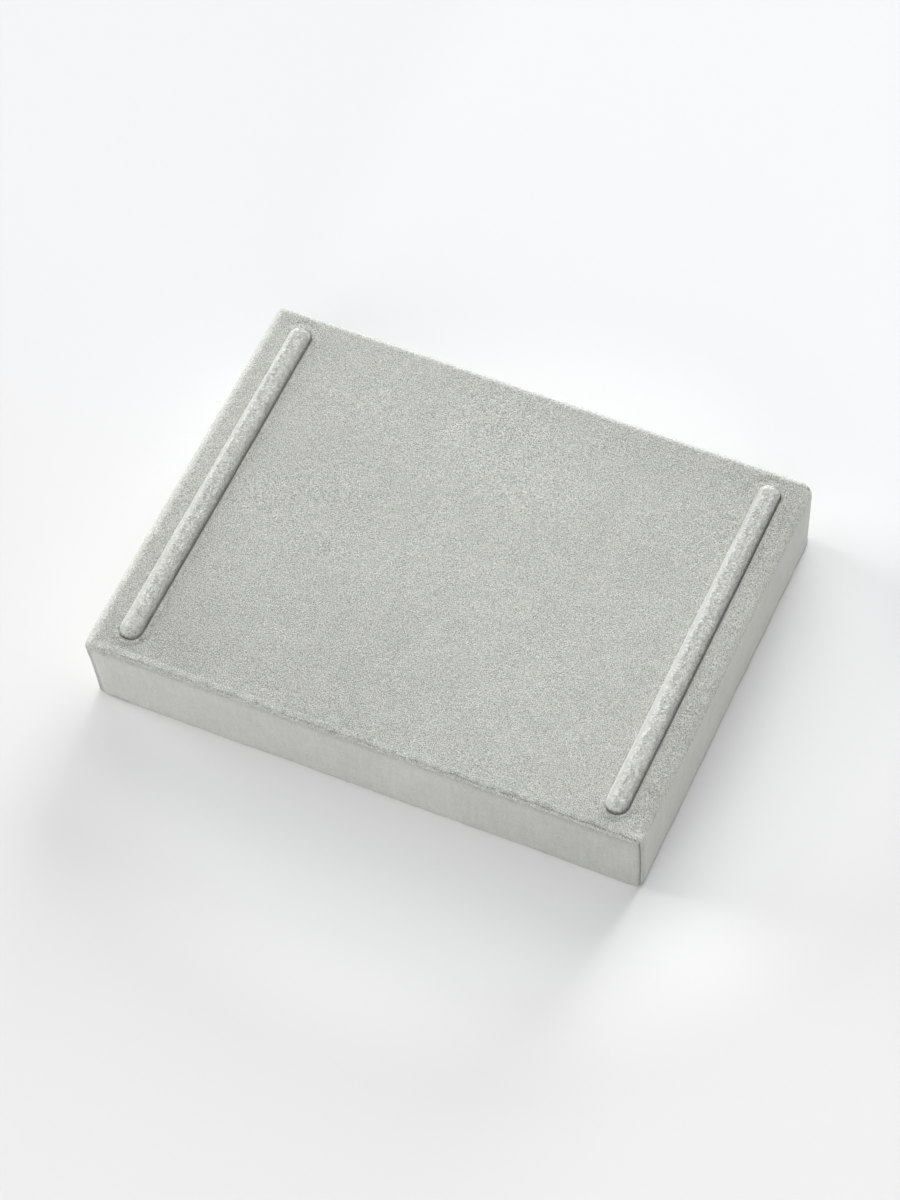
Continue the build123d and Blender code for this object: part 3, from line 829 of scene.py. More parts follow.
def fibre_material(name, light, dark, fleck, size=1.0, stretch=(1, 1, 1), bump=0.00006, rough=0.85, fleck_share=0.5):
    """Board, paper, wood or foam: fine fibres or cells, larger clouds and some flecks."""
    mat = bpy.data.materials.new(name)
    nt, sh = nodes_of(mat)
    where = nt.nodes.new("ShaderNodeTexCoord").outputs["Object"]
    fine = texture(nt, where, 0.5 * size, 4.0, 0.65, stretch)
    cloud = texture(nt, where, 6.0 * size, 3.0, 0.55, stretch)
    t = math_node(nt, "ADD", math_node(nt, "MULTIPLY", scaled(nt, fine, 0, 1), 0.55), math_node(nt, "MULTIPLY", scaled(nt, cloud, 0, 1), 0.45), clamp=True)
    col = mix_colour(nt, t, dark, light)
    vo = nt.nodes.new("ShaderNodeTexVoronoi")
    vo.inputs["Scale"].default_value = 1000.0 / (1.6 * size)
    nt.links.new(where, vo.inputs["Vector"])
    spot = nt.nodes.new("ShaderNodeMapRange")
    spot.inputs["From Min"].default_value, spot.inputs["From Max"].default_value = 0.06, 0.16
    spot.inputs["To Min"].default_value, spot.inputs["To Max"].default_value = fleck_share, 0.0
    nt.links.new(vo.outputs["Distance"], spot.inputs["Value"])
    col = mix_colour(nt, spot.outputs[0], col, fleck)
    nt.links.new(col, sh.inputs["Base Color"])
    nt.links.new(math_node(nt, "MULTIPLY_ADD", fine, 0.15, rough - 0.07, clamp=True), sh.inputs["Roughness"])
    sh.inputs["Specular IOR Level"].default_value = 0.3
    bp = nt.nodes.new("ShaderNodeBump")
    bp.inputs["Distance"].default_value = bump
    nt.links.new(t, bp.inputs["Height"])
    nt.links.new(bp.outputs[0], sh.inputs["Normal"])
    return mat


def strand_material(name, sheen=0.5, cool=0.0):
    """Loose pile fibres: darker at the root, paler at the tip, each a little different, and darker or lighter by their
    shade value, which holds painted shade and light as well as random tone.
    """
    mat = bpy.data.materials.new(name)
    nt, sh = nodes_of(mat)
    where = nt.nodes.new("ShaderNodeTexCoord").outputs["Object"]
    nap = texture(nt, where, 9.0, 2.0, 0.5)
    t = math_node(nt, "MULTIPLY_ADD", attribute(nt, "tip"), 0.36, 0.30)
    t = math_node(nt, "MULTIPLY_ADD", attribute(nt, "tone"), 0.20, t)
    t = math_node(nt, "MULTIPLY_ADD", scaled(nt, nap, -0.5, 0.5), 0.08, t)
    t = math_node(nt, "SUBTRACT", t, attribute(nt, "shade"), clamp=True)
    low = mix_colour(nt, math_node(nt, "MULTIPLY", t, 2.0, clamp=True), cooler(DARK_C, cool), cooler(MID_C, cool))
    nt.links.new(mix_colour(nt, math_node(nt, "MULTIPLY_ADD", t, 2.0, -1.0, clamp=True), low, cooler(LIGHT_C, cool)), sh.inputs["Base Color"])
    sh.inputs["Roughness"].default_value = 0.8
    sh.inputs["Specular IOR Level"].default_value = 0.15
    sh.inputs["Sheen Weight"].default_value = sheen
    sh.inputs["Sheen Roughness"].default_value = 0.45
    sh.inputs["Sheen Tint"].default_value = (0.95, 0.96, 0.93, 1)
    return mat


velour = velour_material("velour_pile")
bar_velour = velour_material("bar_pile", 1.0, 0.00015, 0.35, (0.55, 1.0, 0.55), 0.020)
backing = weave_material("velour_ground", (0.50, 0.50, 0.47, 1), (0.26, 0.26, 0.24, 1))
greyboard = fibre_material("greyboard", (0.46, 0.43, 0.38, 1), (0.33, 0.31, 0.27, 1), (0.14, 0.13, 0.12, 1), 1.0)
kraft = fibre_material("kraft_tape", (0.60, 0.45, 0.28, 1), (0.45, 0.32, 0.19, 1), (0.30, 0.20, 0.12, 1), 0.8, (0.2, 0.2, 1))
wood = fibre_material("bar_wood", (0.74, 0.60, 0.42, 1), (0.55, 0.41, 0.26, 1), (0.42, 0.30, 0.18, 1), 1.2, (1, 0.06, 1), 0.00008, 0.6, 0.15)
paper = fibre_material("liner_paper", (0.56, 0.56, 0.54, 1), (0.49, 0.49, 0.47, 1), (0.36, 0.36, 0.35, 1), 1.0, (1, 1, 1), 0.00004, 0.8, 0.3)
foam = fibre_material("foam_cells", (0.86, 0.85, 0.80, 1), (0.70, 0.69, 0.63, 1), (0.42, 0.41, 0.37, 1), 0.7, (1, 1, 1), 0.00025, 0.9, 0.8)

strands = strand_material("velour_strands")
bar_strands = strand_material("bar_strands", cool=0.014)

cover = b.make("velour_skin", [velour, backing], P, marks)


# ---------------------------------------------------------------- loose pile
class Fur(Build):
    """Short closed spikes, each with its own small square of the map."""
    names = ("tip", "tone", "shade")

    def grow(self, batches, rng):
        roots, along, length, width, shade = (np.concatenate([np.asarray(q[k], float) for q in batches]) for k in range(5))
        n = len(roots)
        along = along / np.linalg.norm(along, axis=1)[:, None]
        aside = np.where(np.abs(along[:, 2:3]) < 0.8, np.array([[0.0, 0.0, 1.0]]), np.array([[1.0, 0.0, 0.0]]))
        a = np.cross(aside, along)
        a /= np.linalg.norm(a, axis=1)[:, None]
        c = np.cross(along, a)
        turn = rng.uniform(0, 2 * math.pi, n)
        corners = [roots + (a * np.cos(turn + k * 2.0944)[:, None] + c * np.sin(turn + k * 2.0944)[:, None]) * width[:, None] for k in range(3)]
        tip = roots + along * length[:, None]
        tip[:, 2] = np.maximum(tip[:, 2], 0.02)
        corners = [np.column_stack([q[:, :2], np.maximum(q[:, 2], 0.02)]) for q in corners]
        ids = self.add(np.stack(corners + [tip], 1).reshape(-1, 3), tip=np.tile([0.0, 0.0, 0.0, 1.0], n),
                       tone=np.repeat(rng.uniform(-1, 1, n), 4), shade=np.repeat(shade, 4)).reshape(n, 4)
        across = math.ceil(math.sqrt(n))
        k = np.arange(n)
        low = np.stack([k % across, k // across], 1) / across
        square = low[:, None, :] + np.array([[0.08, 0.08], [0.92, 0.08], [0.92, 0.92], [0.08, 0.92]])[None] / across
        centre = square.mean(1)
        for f, (p, q) in (((0, 1, 3), (0, 1)), ((1, 2, 3), (1, 2)), ((2, 0, 3), (2, 3)), ((2, 1, 0), (3, 0))):
            self.face(ids[:, f], np.stack([square[:, p], square[:, q], centre], 1))


def triangles(build):
    """The pile side's faces as triangles."""
    out = []
    for f, s in zip(build.faces, build.slots):
        f = f[s == 0]
        out.append(f[:, :3])
        if f.shape[1] == 4:
            out.append(f[:, [0, 2, 3]])
    return np.concatenate(out)


def scatter(points, normals, tri, chance, per_mm2, rng):
    """Random places on a mesh, thicker where chance is higher: place, normal."""
    area = np.linalg.norm(np.cross(points[tri[:, 1]] - points[tri[:, 0]], points[tri[:, 2]] - points[tri[:, 0]]), axis=1) / 2
    w = area * chance[tri].mean(1)
    n = int(per_mm2 * w.sum())
    pick = tri[np.searchsorted(np.cumsum(w) / w.sum(), rng.random(n))]
    r = np.sqrt(rng.random(n))
    s = rng.random(n)
    bary = np.stack([1 - r, r * (1 - s), r * s], 1)[:, :, None]
    nn = (normals[pick] * bary).sum(1)
    return (points[pick] * bary).sum(1), nn / np.linalg.norm(nn, axis=1)[:, None]


def strand_batch(place, normal, lean, up, over, length, width, rng, jitter=0.35, shade=0.0, sink=0.05):
    n = len(place)
    along = normal * up + lean * over + rng.normal(0, jitter, (n, 3))
    along += normal * np.clip(0.15 - (along * normal).sum(1), 0, None)[:, None]
    return (place - normal * sink, along, length * rng.uniform(0.65, 1.3, n), width * rng.uniform(0.75, 1.25, n), np.zeros(n) + shade)


def nap_way(place):
    """Which way the pile of the top lies: to the front and a little left, wandering."""
    turn = -2.0 + 0.7 * noise(place * np.array([1, 1, 0]), 24.0, 70) + 0.6 * noise(place * np.array([1, 1, 0]), 6.0, 71)
    return np.stack([np.cos(turn), np.sin(turn), np.zeros(len(place))], 1)


def fur_piece(name, batches, rng, mat=None):
    f = Fur()
    f.grow(batches, rng)
    return f.make(name, [mat or strands])


rng = np.random.default_rng(SEED)
thin = 1.0
NP = normals_of(b, P)
tri = triangles(b)
outer = np.maximum(np.abs(P[:, 0]) - (LENGTH / 2 - EDGE_R), np.abs(P[:, 1]) - (DEPTH / 2 - EDGE_R))
lip = slot_edge
at_edge = np.where(shown, ramp(outer, -1.6, -0.2) * ramp(P[:, 2], 21.0, 22.3) * (1 - 0.65 * ramp(NP[:, 0], 0.3, 0.8)), 0)
at_lip = np.where(on_top, ramp(lip, -0.50, -0.30) * (1 - ramp(lip, 0.35, 1.0)) * ramp(P[:, 2], 22.75, 23.1), 0)
at_seam = np.where(shown & (from_seam < 0.7), ramp(BODY_H - P[:, 2], 0.5, 1.5) * ramp(P[:, 2], 0.4, 0.8), 0)
at_foot = np.where(shown & (outer > EDGE_R - 2.6), bell(P[:, 2], 0.75, 0.6) * (P[:, 2] > 0.34), 0)
at_top = np.where(on_top & (P[:, 2] > 22.9), (1 - at_edge) * ramp(lip, 0.3, 0.9), 0)

batches = []
place, nn = scatter(P, NP, tri, at_edge, 10.0 * thin, rng)
front = ramp(-nn[:, 1], 0.2, 0.6)[:, None]
lean = nap_way(place) * (1 - front) + np.array([[0.0, -0.55, -0.85]]) * front
# the strands' shade: painted light on the right edge, and darker along the front edge, more so towards the right
batches.append(strand_batch(place, nn, lean, 0.38, 0.70, 0.27 + 0.15 * front[:, 0], 0.050, rng, shade=-0.10 * ramp(nn[:, 0], 0.2, 0.7) + (0.06 + 0.08 * ramp(place[:, 0], -45, 45)) * ramp(-place[:, 1], DEPTH / 2 - 4, DEPTH / 2 - 1)))
# ruffled tufts along the parting of the front edge, hanging down and to the right, most of them darker as painted shade
place, nn = scatter(P, NP, tri, crease, 16.0 * thin, rng)
batches.append(strand_batch(place, nn, np.tile([[0.45, -0.25, -0.9]], (len(place), 1)), 0.45, 0.7, 0.44, 0.060, rng, jitter=0.3, shade=rng.uniform(-0.06, 0.36, len(place))))
# strands over the seams, most of them darker as painted shade
place, nn = scatter(P, NP, tri, at_seam, 26.0 * thin, rng)
corner_way = np.stack([-np.sign(place[:, 1]) * 1.0, np.sign(place[:, 0]) * 1.0, np.zeros(len(place))], 1) * rng.choice([-0.7, 0.7], len(place))[:, None]
batches.append(strand_batch(place, nn, corner_way, 0.45, 0.7, 0.36, 0.05, rng, shade=rng.uniform(-0.10, 0.26, len(place))))
# strands at the foot carry painted light that lifts the contact shade
place, nn = scatter(P, NP, tri, at_foot, 9.0 * thin, rng)
batches.append(strand_batch(place, nn, np.tile([[0.0, 0.0, -1.0]], (len(place), 1)), 0.7, 0.6, 0.42, 0.050, rng, shade=-0.14))
edge_fur = fur_piece("edge_strands", batches, rng)

place, nn = scatter(P, NP, tri, at_lip, 11.0 * thin, rng)
side = np.sign(place[:, 0])
inward = np.stack([side * BAR_X - place[:, 0], np.sign(place[:, 1]) * np.minimum(BAR_RUN - np.abs(place[:, 1]), 0), np.zeros(len(place))], 1)
inward /= np.linalg.norm(inward, axis=1)[:, None]
leaning = 1 - np.where(side > 0, gap_open(place[:, 0], place[:, 1], 1), gap_open(place[:, 0], place[:, 1], -1))
# on the right slot the strands that lean on the bar carry a little painted light
slot_fur = fur_piece("slot_strands", [strand_batch(place, nn, inward, 0.45, 0.6, 0.42, 0.058, rng, shade=-leaning * np.where(side > 0, 0.05, 0.0))], rng)

place, nn = scatter(P, NP, tri, at_top, 1.9 * thin, rng)
top_fur = fur_piece("top_strands", [strand_batch(place, nn, nap_way(place), 0.30, 0.80, 0.36, 0.058, rng, jitter=0.3, sink=0.02)], rng)


# ---------------------------------------------------------------- the bars' sleeves
def build_sleeve(side, step):
    """Closed velour sleeve: round top with ball ends, straight legs, and tails under the top board."""
    b = Build()
    x0 = side * BAR_X
    ends = BAR_RUN + BAR_R * np.sin(np.linspace(0, math.pi / 2, int(BAR_R * 1.571 / step) + 1))
    ys = mirrored(np.concatenate([spaced(0, BAR_RUN, step * 1.25), ends[1:-1]]))
    n_across = int(math.pi * BAR_R / step)
    # the section across the bar, evenly spaced along its curve
    t = np.linspace(-math.pi / 2, math.pi / 2, 1501)
    sx, sz = np.sign(t) * np.abs(np.sin(t)) ** (2 / CROWN), np.clip(np.cos(t), 0, 1) ** (2 / CROWN)
    run = np.concatenate([[0], np.cumsum(np.hypot(np.diff(sx), np.diff(sz)))])
    even = np.linspace(0, run[-1], n_across + 1)
    sx, sz = np.interp(even, run, sx), np.interp(even, run, sz)
    share = even / run[-1]

    def dome(radius, slot, flip, area):
        scale = radius / BAR_R
        out_rows, uv_rows = [], []
        for k, y in enumerate(ys):
            over = max(abs(y) - BAR_RUN, 0)
            r = math.sqrt(max(BAR_R ** 2 - over ** 2, 0)) * scale
            high = BAR_R * max(1 - (over / BAR_R) ** 2.4, 0) ** (1 / 2.4) * scale
            yy = math.copysign(min(abs(y), BAR_RUN) + over * scale, y)
            p = np.stack([x0 + r * sx, np.full(len(sx), yy), BAR_Z + high * sz], 1)
            out_rows.append(b.add(p, deep=0))
            uv_rows.append(np.stack([np.full(len(sx), (k + 1) / (len(ys) + 1)), area[0] + area[1] * share], 1))
        for k in range(len(ys) - 1):
            b.strip(out_rows[k], out_rows[k + 1], uv_rows[k], uv_rows[k + 1], slot, flip)
        tips = []
        for k, s in ((0, -1), (len(ys) - 1, 1)):
            tip = b.add([[x0, s * (BAR_RUN + radius), BAR_Z]])[0]
            row, uvr = out_rows[k], uv_rows[k]
            t = np.stack([row[:-1], row[1:], np.full(n_across, tip)], 1)
            tu = np.stack([uvr[:-1], uvr[1:], np.tile([[0.0 if s < 0 else 1.0, area[0] + area[1] / 2]], (n_across, 1))], 1)
            if (s > 0) != flip:
                t, tu = t[:, ::-1], tu[:, ::-1]
            b.face(t, tu, slot)
            tips.append(tip)
        # the outline at the level of the bar's centre, counterclockwise from the front tip
        right = [r[-1] for r in out_rows]
        left = [r[0] for r in out_rows]
        loop = [tips[0]] + right + [tips[1]] + left[::-1]
        return out_rows, np.asarray(loop)

    def outline(radius, z):
        """The same loop's places at another radius and height."""
        pts = []
        for y in [-(BAR_RUN + BAR_R)] + list(ys):
            over = max(abs(y) - BAR_RUN, 0)
            r = math.sqrt(max(BAR_R ** 2 - over ** 2, 0)) / BAR_R * radius
            pts.append((x0 + r, math.copysign(min(abs(y), BAR_RUN) + over / BAR_R * radius, y), z))
        for y in [BAR_RUN + BAR_R] + list(ys[::-1]):
            over = max(abs(y) - BAR_RUN, 0)
            r = math.sqrt(max(BAR_R ** 2 - over ** 2, 0)) / BAR_R * radius
            pts.append((x0 - r, math.copysign(min(abs(y), BAR_RUN) + over / BAR_R * radius, y), z))
        return np.asarray(pts)

    rows, loop = dome(BAR_R, 0, False, (0.30, 0.40))
    n = len(loop)
    close = np.append(np.arange(n), 0)
    u = np.linspace(0, 1, n + 1)
    down = []
    prev, v = loop, 0.28
    # the legs, down in the slot, are painted in full shade
    for z in np.linspace(BAR_Z, Z_TAIL + SLEEVE, 7)[1:]:
        vid = b.add(outline(BAR_R, z), deep=1.0)
        b.strip(prev[close], vid[close], np.stack([u, np.full(n + 1, v)], 1), np.stack([u, np.full(n + 1, v - 0.02)], 1))
        down.append(vid)
        prev, v = vid, v - 0.02
    # tails, flat under the top board
    def tail(z):
        q = outline(BAR_R, z)
        x, y = q[:, 0] - x0, q[:, 1]
        e = np.maximum(np.abs(y) - BAR_RUN, 0)
        length = np.maximum(np.hypot(x, e), 1e-9)
        far = np.where(np.abs(y) <= BAR_RUN, TAIL_W, np.minimum(TAIL_W / np.maximum(np.abs(x) / length, 1e-9), (TAIL_L - BAR_RUN) / np.maximum(e / length, 1e-9)))
        px = np.where(np.abs(y) <= BAR_RUN, np.sign(x) * TAIL_W, x / length * far)
        py = np.where(np.abs(y) <= BAR_RUN, y, np.sign(y) * (BAR_RUN + e / length * far))
        return np.stack([x0 + px, py, np.full(len(q), z)], 1)

    for z in (Z_TAIL + SLEEVE - 0.02, Z_TAIL + 0.02):
        vid = b.add(tail(z))
        b.strip(prev[close], vid[close], np.stack([u, np.full(n + 1, v)], 1), np.stack([u, np.full(n + 1, v - 0.04)], 1))
        prev, v = vid, v - 0.04
    inner = BAR_R - SLEEVE + 0.03
    vid = b.add(outline(inner, Z_TAIL + 0.02))
    b.strip(prev[close], vid[close], np.stack([u, np.full(n + 1, v)], 1), np.stack([u, np.full(n + 1, v - 0.04)], 1), slot=1)
    prev, v = vid, 0.99
    inner_rows, inner_loop = dome(inner, 1, True, (0.72, 0.2))
    b.strip(prev[close], inner_loop[close], np.stack([u, np.full(n + 1, v)], 1), np.stack([u, np.full(n + 1, 0.94)], 1), slot=1)
    b.turn_over()
    return b, rows, down


def bar_light_and_shade(p, side):
    """Painted light and shade on a bar's pile: lighter over its right half, darker low on its right, and paler towards
    its far end.
    """
    across = p[:, 0] - side * BAR_X
    steep = 0.02 if side < 0 else 0.02 + 0.07 * ramp(p[:, 1], -45, -10) * (1 - ramp(p[:, 1], 32, 46))
    near_side = -0.04 if side < 0 else 0.02
    along = near_side * (1 - ramp(p[:, 1], -40, 0)) + 0.06 * ramp(p[:, 1], 0, 50)
    flank = 0.19 * ramp(across, 0.2, 1.6) + (0.03 if side < 0 else 0.10) * (1 - ramp(p[:, 1], -50, -34)) * ramp(across, 0.5, 1.8)
    return (0.14 if side < 0 else 0.13) + flank + bell(across, 1.1, 0.75) * along - steep * ramp(across, 1.8, 2.7)


def sleeve_piece(side, name):
    b, rows, down = build_sleeve(side, 0.27)
    P, M = b.arrays()
    N = normals_of(b, P)
    pile = np.zeros(len(P), bool)
    for r in rows:
        pile[r] = True
    # the velour bunches a little round the rod, and its pile stands in small locks
    flank = -N[:, 0] + 0.10 * N[:, 1] + 0.42 * ramp(-P[:, 1], -45, 45) + 0.12 * noise(P, (2.0, 9.0, 2.0), 56 + side)
    combed = np.where(pile, ramp(flank, 0.42, 0.82), 0)
    sleek = np.where(pile, ramp(flank - 0.20 * ramp(-P[:, 1], -45, 45), 0.16, 0.56), 0)
    push = 0.05 * noise(P, (4.0, 6.0, 4.0), 50 + side) + (1 - 0.85 * sleek) * (0.024 * noise(P, (1.3, 1.6, 1.3), 52 + side)
                                                                            + 0.020 * noise(P, (0.55, 0.6, 0.55), 54 + side))
    P = P + N * (push * pile)[:, None]
    # painted light and shade on the pile: lighter on the right flank, darker on the combed left flank, and paler
    # towards the far end and its tip
    right = np.where(pile, ramp(N[:, 0], 0.05, 0.5) * ramp(P[:, 2], BAR_Z + 0.9, BAR_Z + 1.7), 0)
    beyond = ramp(P[:, 1], -20, 30)
    paler = -0.26 + 0.12 * ramp(P[:, 1], -45, 30) - (0.02 if side < 0 else 0.09) * ramp(P[:, 1], 30, 50)
    M[:, 0] += np.where(pile, bar_light_and_shade(P, side), 0)
    M[:, 0] -= (0.14 * ramp(P[:, 1], -30, 25) + (0.03 if side < 0 else 0.09) * ramp(P[:, 1], 28, 50)) * sleek
    M[:, 0] += paler * combed + 0.08 + (0.15 + 0.10 * beyond) * right \
        + np.where(pile, 0.02 * beyond * ramp(N[:, 0], -0.5, 0.2) + 0.10 * ramp(P[:, 1], BAR_RUN - 1.5, BAR_RUN + 1.0), 0)
    M[:, 1] += 0.90 * sleek - 0.60 * right
    # painted shade low on the side where the slot gapes, and on the legs down in the slot
    wide = gap_open(P[:, 0], P[:, 1], side) * (1 + 0.5 * ramp(-P[:, 1], BAR_RUN - 1, BAR_RUN + 1.5))
    low = np.where(P[:, 2] > BAR_Z, wide * (0.08 * ramp(BAR_Z + 2.0 - P[:, 2], 0.0, 0.9) + (0.14 if side < 0 else 0.50) * ramp(BAR_Z + 1.45 - P[:, 2], 0.0, 0.8)), 0.8)
    # painted shade on the underside of the near end, which lies in the shade of its own pile
    tucked = np.where(pile, ramp(-P[:, 1], BAR_RUN + 0.2, BAR_RUN + 2.0) * ramp(BAR_Z + 2.1 + 0.3 * noise(P, (0.8, 2.0, 2.0), 58 + side) - P[:, 2], 0, 1.3), 0)
    low = np.maximum(low, 0.50 * tucked)
    M[:, 2] = np.maximum(M[:, 2], np.where(pile, low, M[:, 2]))
    ob = b.make(name, [bar_velour, backing], P, M)
    # strands that lie across the bar, down towards the right
    NP = normals_of(b, P)
    round_way = np.cross(np.array([[0.0, 1.0, 0.0]]), NP)
    place, nn = scatter(P, NP, triangles(b), np.where(pile, ramp(P[:, 2], BAR_Z + 0.1, BAR_Z + 0.8) * (1 - 0.97 * sleek), 0.0), 12.0 * thin, rng)
    reach, rn = scatter(P, NP, triangles(b), np.where(pile, bell(P[:, 2], BAR_Z + 1.40, 0.30) * gap_open(P[:, 0], P[:, 1], side), 0), 26.0 * thin, rng)
    outward = rn * np.array([[1.0, 1.0, 0.0]]) + np.array([[0.0, -0.25, -0.35]])
    # these strands reach over the gap; on the left bar they carry painted light
    across = strand_batch(reach, rn, outward, 0.25, 0.9, 0.50, 0.070, rng, jitter=0.38, shade=rng.uniform(-0.15, 0.35, len(reach)) - (0.20 if side < 0 else 0.0), sink=0.02)
    speckle = rng.uniform(-0.30, 0.29, len(place)) * (1 + 1.2 * ramp(place[:, 0] - side * BAR_X, 0.8, 2.2))
    # the strands carry painted shade under the near end and the bar's painted light and shade
    shaded = 0.34 * ramp(-place[:, 1], BAR_RUN + 0.4, BAR_RUN + 2.0) * ramp(BAR_Z + 2.2 - place[:, 2], 0, 1.2)
    way = np.cross(np.array([[0.0, 1.0, 0.0]]), nn) + np.array([[0.0, -0.35, 0.0]]) + 0.5 * noise(place, 3.0, 72)[:, None] * np.array([[0.0, 1.0, 0.0]])
    fur = fur_piece(name.replace("velour", "strands"), [strand_batch(place, nn, way, 0.26, 0.90, 0.44, 0.066, rng, jitter=0.24, shade=speckle + shaded - bar_light_and_shade(place, side), sink=0.02), across], rng, bar_strands)
    return ob, fur


left_sleeve, left_fur = sleeve_piece(-1, "left_bar_velour")
right_sleeve, right_fur = sleeve_piece(1, "right_bar_velour")

# ---------------------------------------------------------------- the foam under the top
def rounded_loop(inset, corners):
    """A rounded rectangle counterclockwise, with the same number of points at every inset."""
    hx, hy = LENGTH / 2 - inset, DEPTH / 2 - inset
    pts = []
    for (sx, sy), r, start, n in (((-1, -1), corners[0], 180, 52), ((1, -1), corners[1], 270, 40), ((1, 1), corners[2], 0, 52), ((-1, 1), corners[3], 90, 40)):
        r = max(r - inset, 0.3)
        c = np.array([sx * (hx - r), sy * (hy - r)])
        a = np.radians(np.linspace(start, start + 90, 8))
        pts.append(c + r * np.stack([np.cos(a), np.sin(a)], 1))
    out = []
    for k in range(4):
        a, b2 = pts[k][-1], pts[(k + 1) % 4][0]
        n = (52, 40, 52, 40)[k]
        out += [pts[k], a + (b2 - a) * np.linspace(0, 1, n + 2)[1:-1, None]]
    return np.concatenate(out)


def obround_loop(x0, radius):
    """A slot's outline, counterclockwise."""
    a = np.linspace(0, math.pi, 15)[:, None]
    far = np.array([[x0, BAR_RUN]]) + radius * np.concatenate([np.cos(a), np.sin(a)], 1)
    near_end = np.array([[x0, -BAR_RUN]]) - radius * np.concatenate([np.cos(a), np.sin(a)], 1)
    side = np.linspace(BAR_RUN, -BAR_RUN, 36)[1:-1, None]
    left = np.concatenate([np.full_like(side, x0 - radius), side], 1)
    right = np.concatenate([np.full_like(side, x0 + radius), -side], 1)
    return np.concatenate([far, left, near_end, right])


def build_foam():
    """A thin sheet with rounded upper edges, trimmed back at the soft corners, and its two slots."""
    b = Build()
    corners = (3.6, 2.6, 4.9, 2.8)
    rows = ((2.10, 22.36), (1.78, 22.31), (1.50, 22.16), (1.30, 21.92), (1.20, 21.55), (1.20, 21.03))
    strip_at = lambda n, row: np.stack([np.linspace(0.005, 0.995, n + 1), np.full(n + 1, row)], 1)
    loops = []
    for k, (inset, z) in enumerate(rows):
        xy = rounded_loop(inset, corners)
        p = np.column_stack([xy, np.full(len(xy), z)])
        ragged = 0.05 * noise(p, 2.0, 80) + 0.04 * noise(p, 0.8, 81)
        p[:, :2] *= 1 + (ragged * (k > 1) / 75.0)[:, None]
        p[:, 2] += 0.02 * noise(p, 3.0, 82) * (k < 3)
        loops.append((b.add(p), xy))
        if k:
            close = np.append(np.arange(len(xy)), 0)
            b.strip(loops[k - 1][0][close], loops[k][0][close], strip_at(len(xy), 0.42 + 0.03 * (k - 1)), strip_at(len(xy), 0.42 + 0.03 * k), flip=False)
    holes = []
    for s in (-1, 1):
        xy = obround_loop(s * BAR_X, 4.5)
        close = np.append(np.arange(len(xy)), 0)
        up = b.add(np.column_stack([xy, np.full(len(xy), 22.36)]))
        mid = b.add(np.column_stack([xy + 0.04 * np.sin(np.arange(len(xy)))[:, None], np.full(len(xy), 21.7)]))
        low = b.add(np.column_stack([xy, np.full(len(xy), 21.03)]))
        v = 0.65 + 0.15 * (s > 0)
        b.strip(up[close], mid[close], strip_at(len(xy), v), strip_at(len(xy), v + 0.05), flip=True)
        b.strip(mid[close], low[close], strip_at(len(xy), v + 0.05), strip_at(len(xy), v + 0.10), flip=True)
        holes.append((up, low, xy))
    for top in (True, False):
        ring, xy = loops[0] if top else loops[-1]
        X, Y = np.meshgrid(np.arange(-72, 73, 3.0), np.arange(-54, 55, 3.0), indexing="ij")
        grid = np.stack([X.ravel(), Y.ravel()], 1)
        clear = np.minimum(slot_distance(grid[:, 0], grid[:, 1], -1), slot_distance(grid[:, 0], grid[:, 1], 1)) > 5.3
        grid = grid[clear]
        z = 22.36 + 0.03 * noise(np.column_stack([grid, np.zeros(len(grid))]), 9.0, 83) if top else np.full(len(grid), 21.03)
        own = b.add(np.column_stack([grid, z]))
        flat = np.concatenate([xy] + [h[2] for h in holes] + [grid])
        vids = np.concatenate([ring] + [h[0 if top else 1] for h in holes] + [own])
        edges, at = [], 0
        for m in (len(xy), len(holes[0][2]), len(holes[1][2])):
            edges += [(at + k, at + (k + 1) % m) for k in range(m)]
            at += m
        res = delaunay_2d_cdt([Vector(p) for p in flat], edges, [], 0, 1e-7)
        origin = [v[0] for v in res[3]]
        tri = np.array([[origin[k] for k in f] for f in res[2]])
        middle = flat[tri].mean(1)
        tri = tri[within(middle, xy) & ~(within(middle, holes[0][2]) | within(middle, holes[1][2]))]
        if not top:
            tri = tri[:, ::-1]
        uv = (flat + np.array([80.0, 62.0])) / 330.0 + np.array([0.005 if top else 0.505, 0.005])
        b.face(vids[tri], uv[tri])
    return b


foam_sheet = build_foam().make("foam_sheet", [foam])

# ---------------------------------------------------------------- the inner pieces keep their shapes
inside = {
    greyboard: ("top_board", "front_board", "back_board", "left_board", "right_board", "bottom_board", "left_slot_backing", "right_slot_backing"),
    kraft: ("corner_tape_front_left", "corner_tape_front_right", "corner_tape_back_left", "corner_tape_back_right"),
    wood: ("left_bar_core", "right_bar_core"),
    paper: ("base_liner",),
    foam: ("foam_pad",),
}
for mat, names in inside.items():
    for name in names:
        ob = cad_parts[name]
        if not ob.material_slots:
            ob.data.materials.append(mat)
        for s in ob.material_slots:
            s.material = mat

# ---------------------------------------------------------------- what rides on what
for ob, nodes in ((cover, "velour_cover"), (left_sleeve, "left_bar_sleeve"), (right_sleeve, "right_bar_sleeve")):
    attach(ob, "root")
    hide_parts(nodes)
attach(foam_sheet, "root")
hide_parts("foam_pad")
for ob in (edge_fur, slot_fur, top_fur, left_fur, right_fur):
    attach(ob, "root")

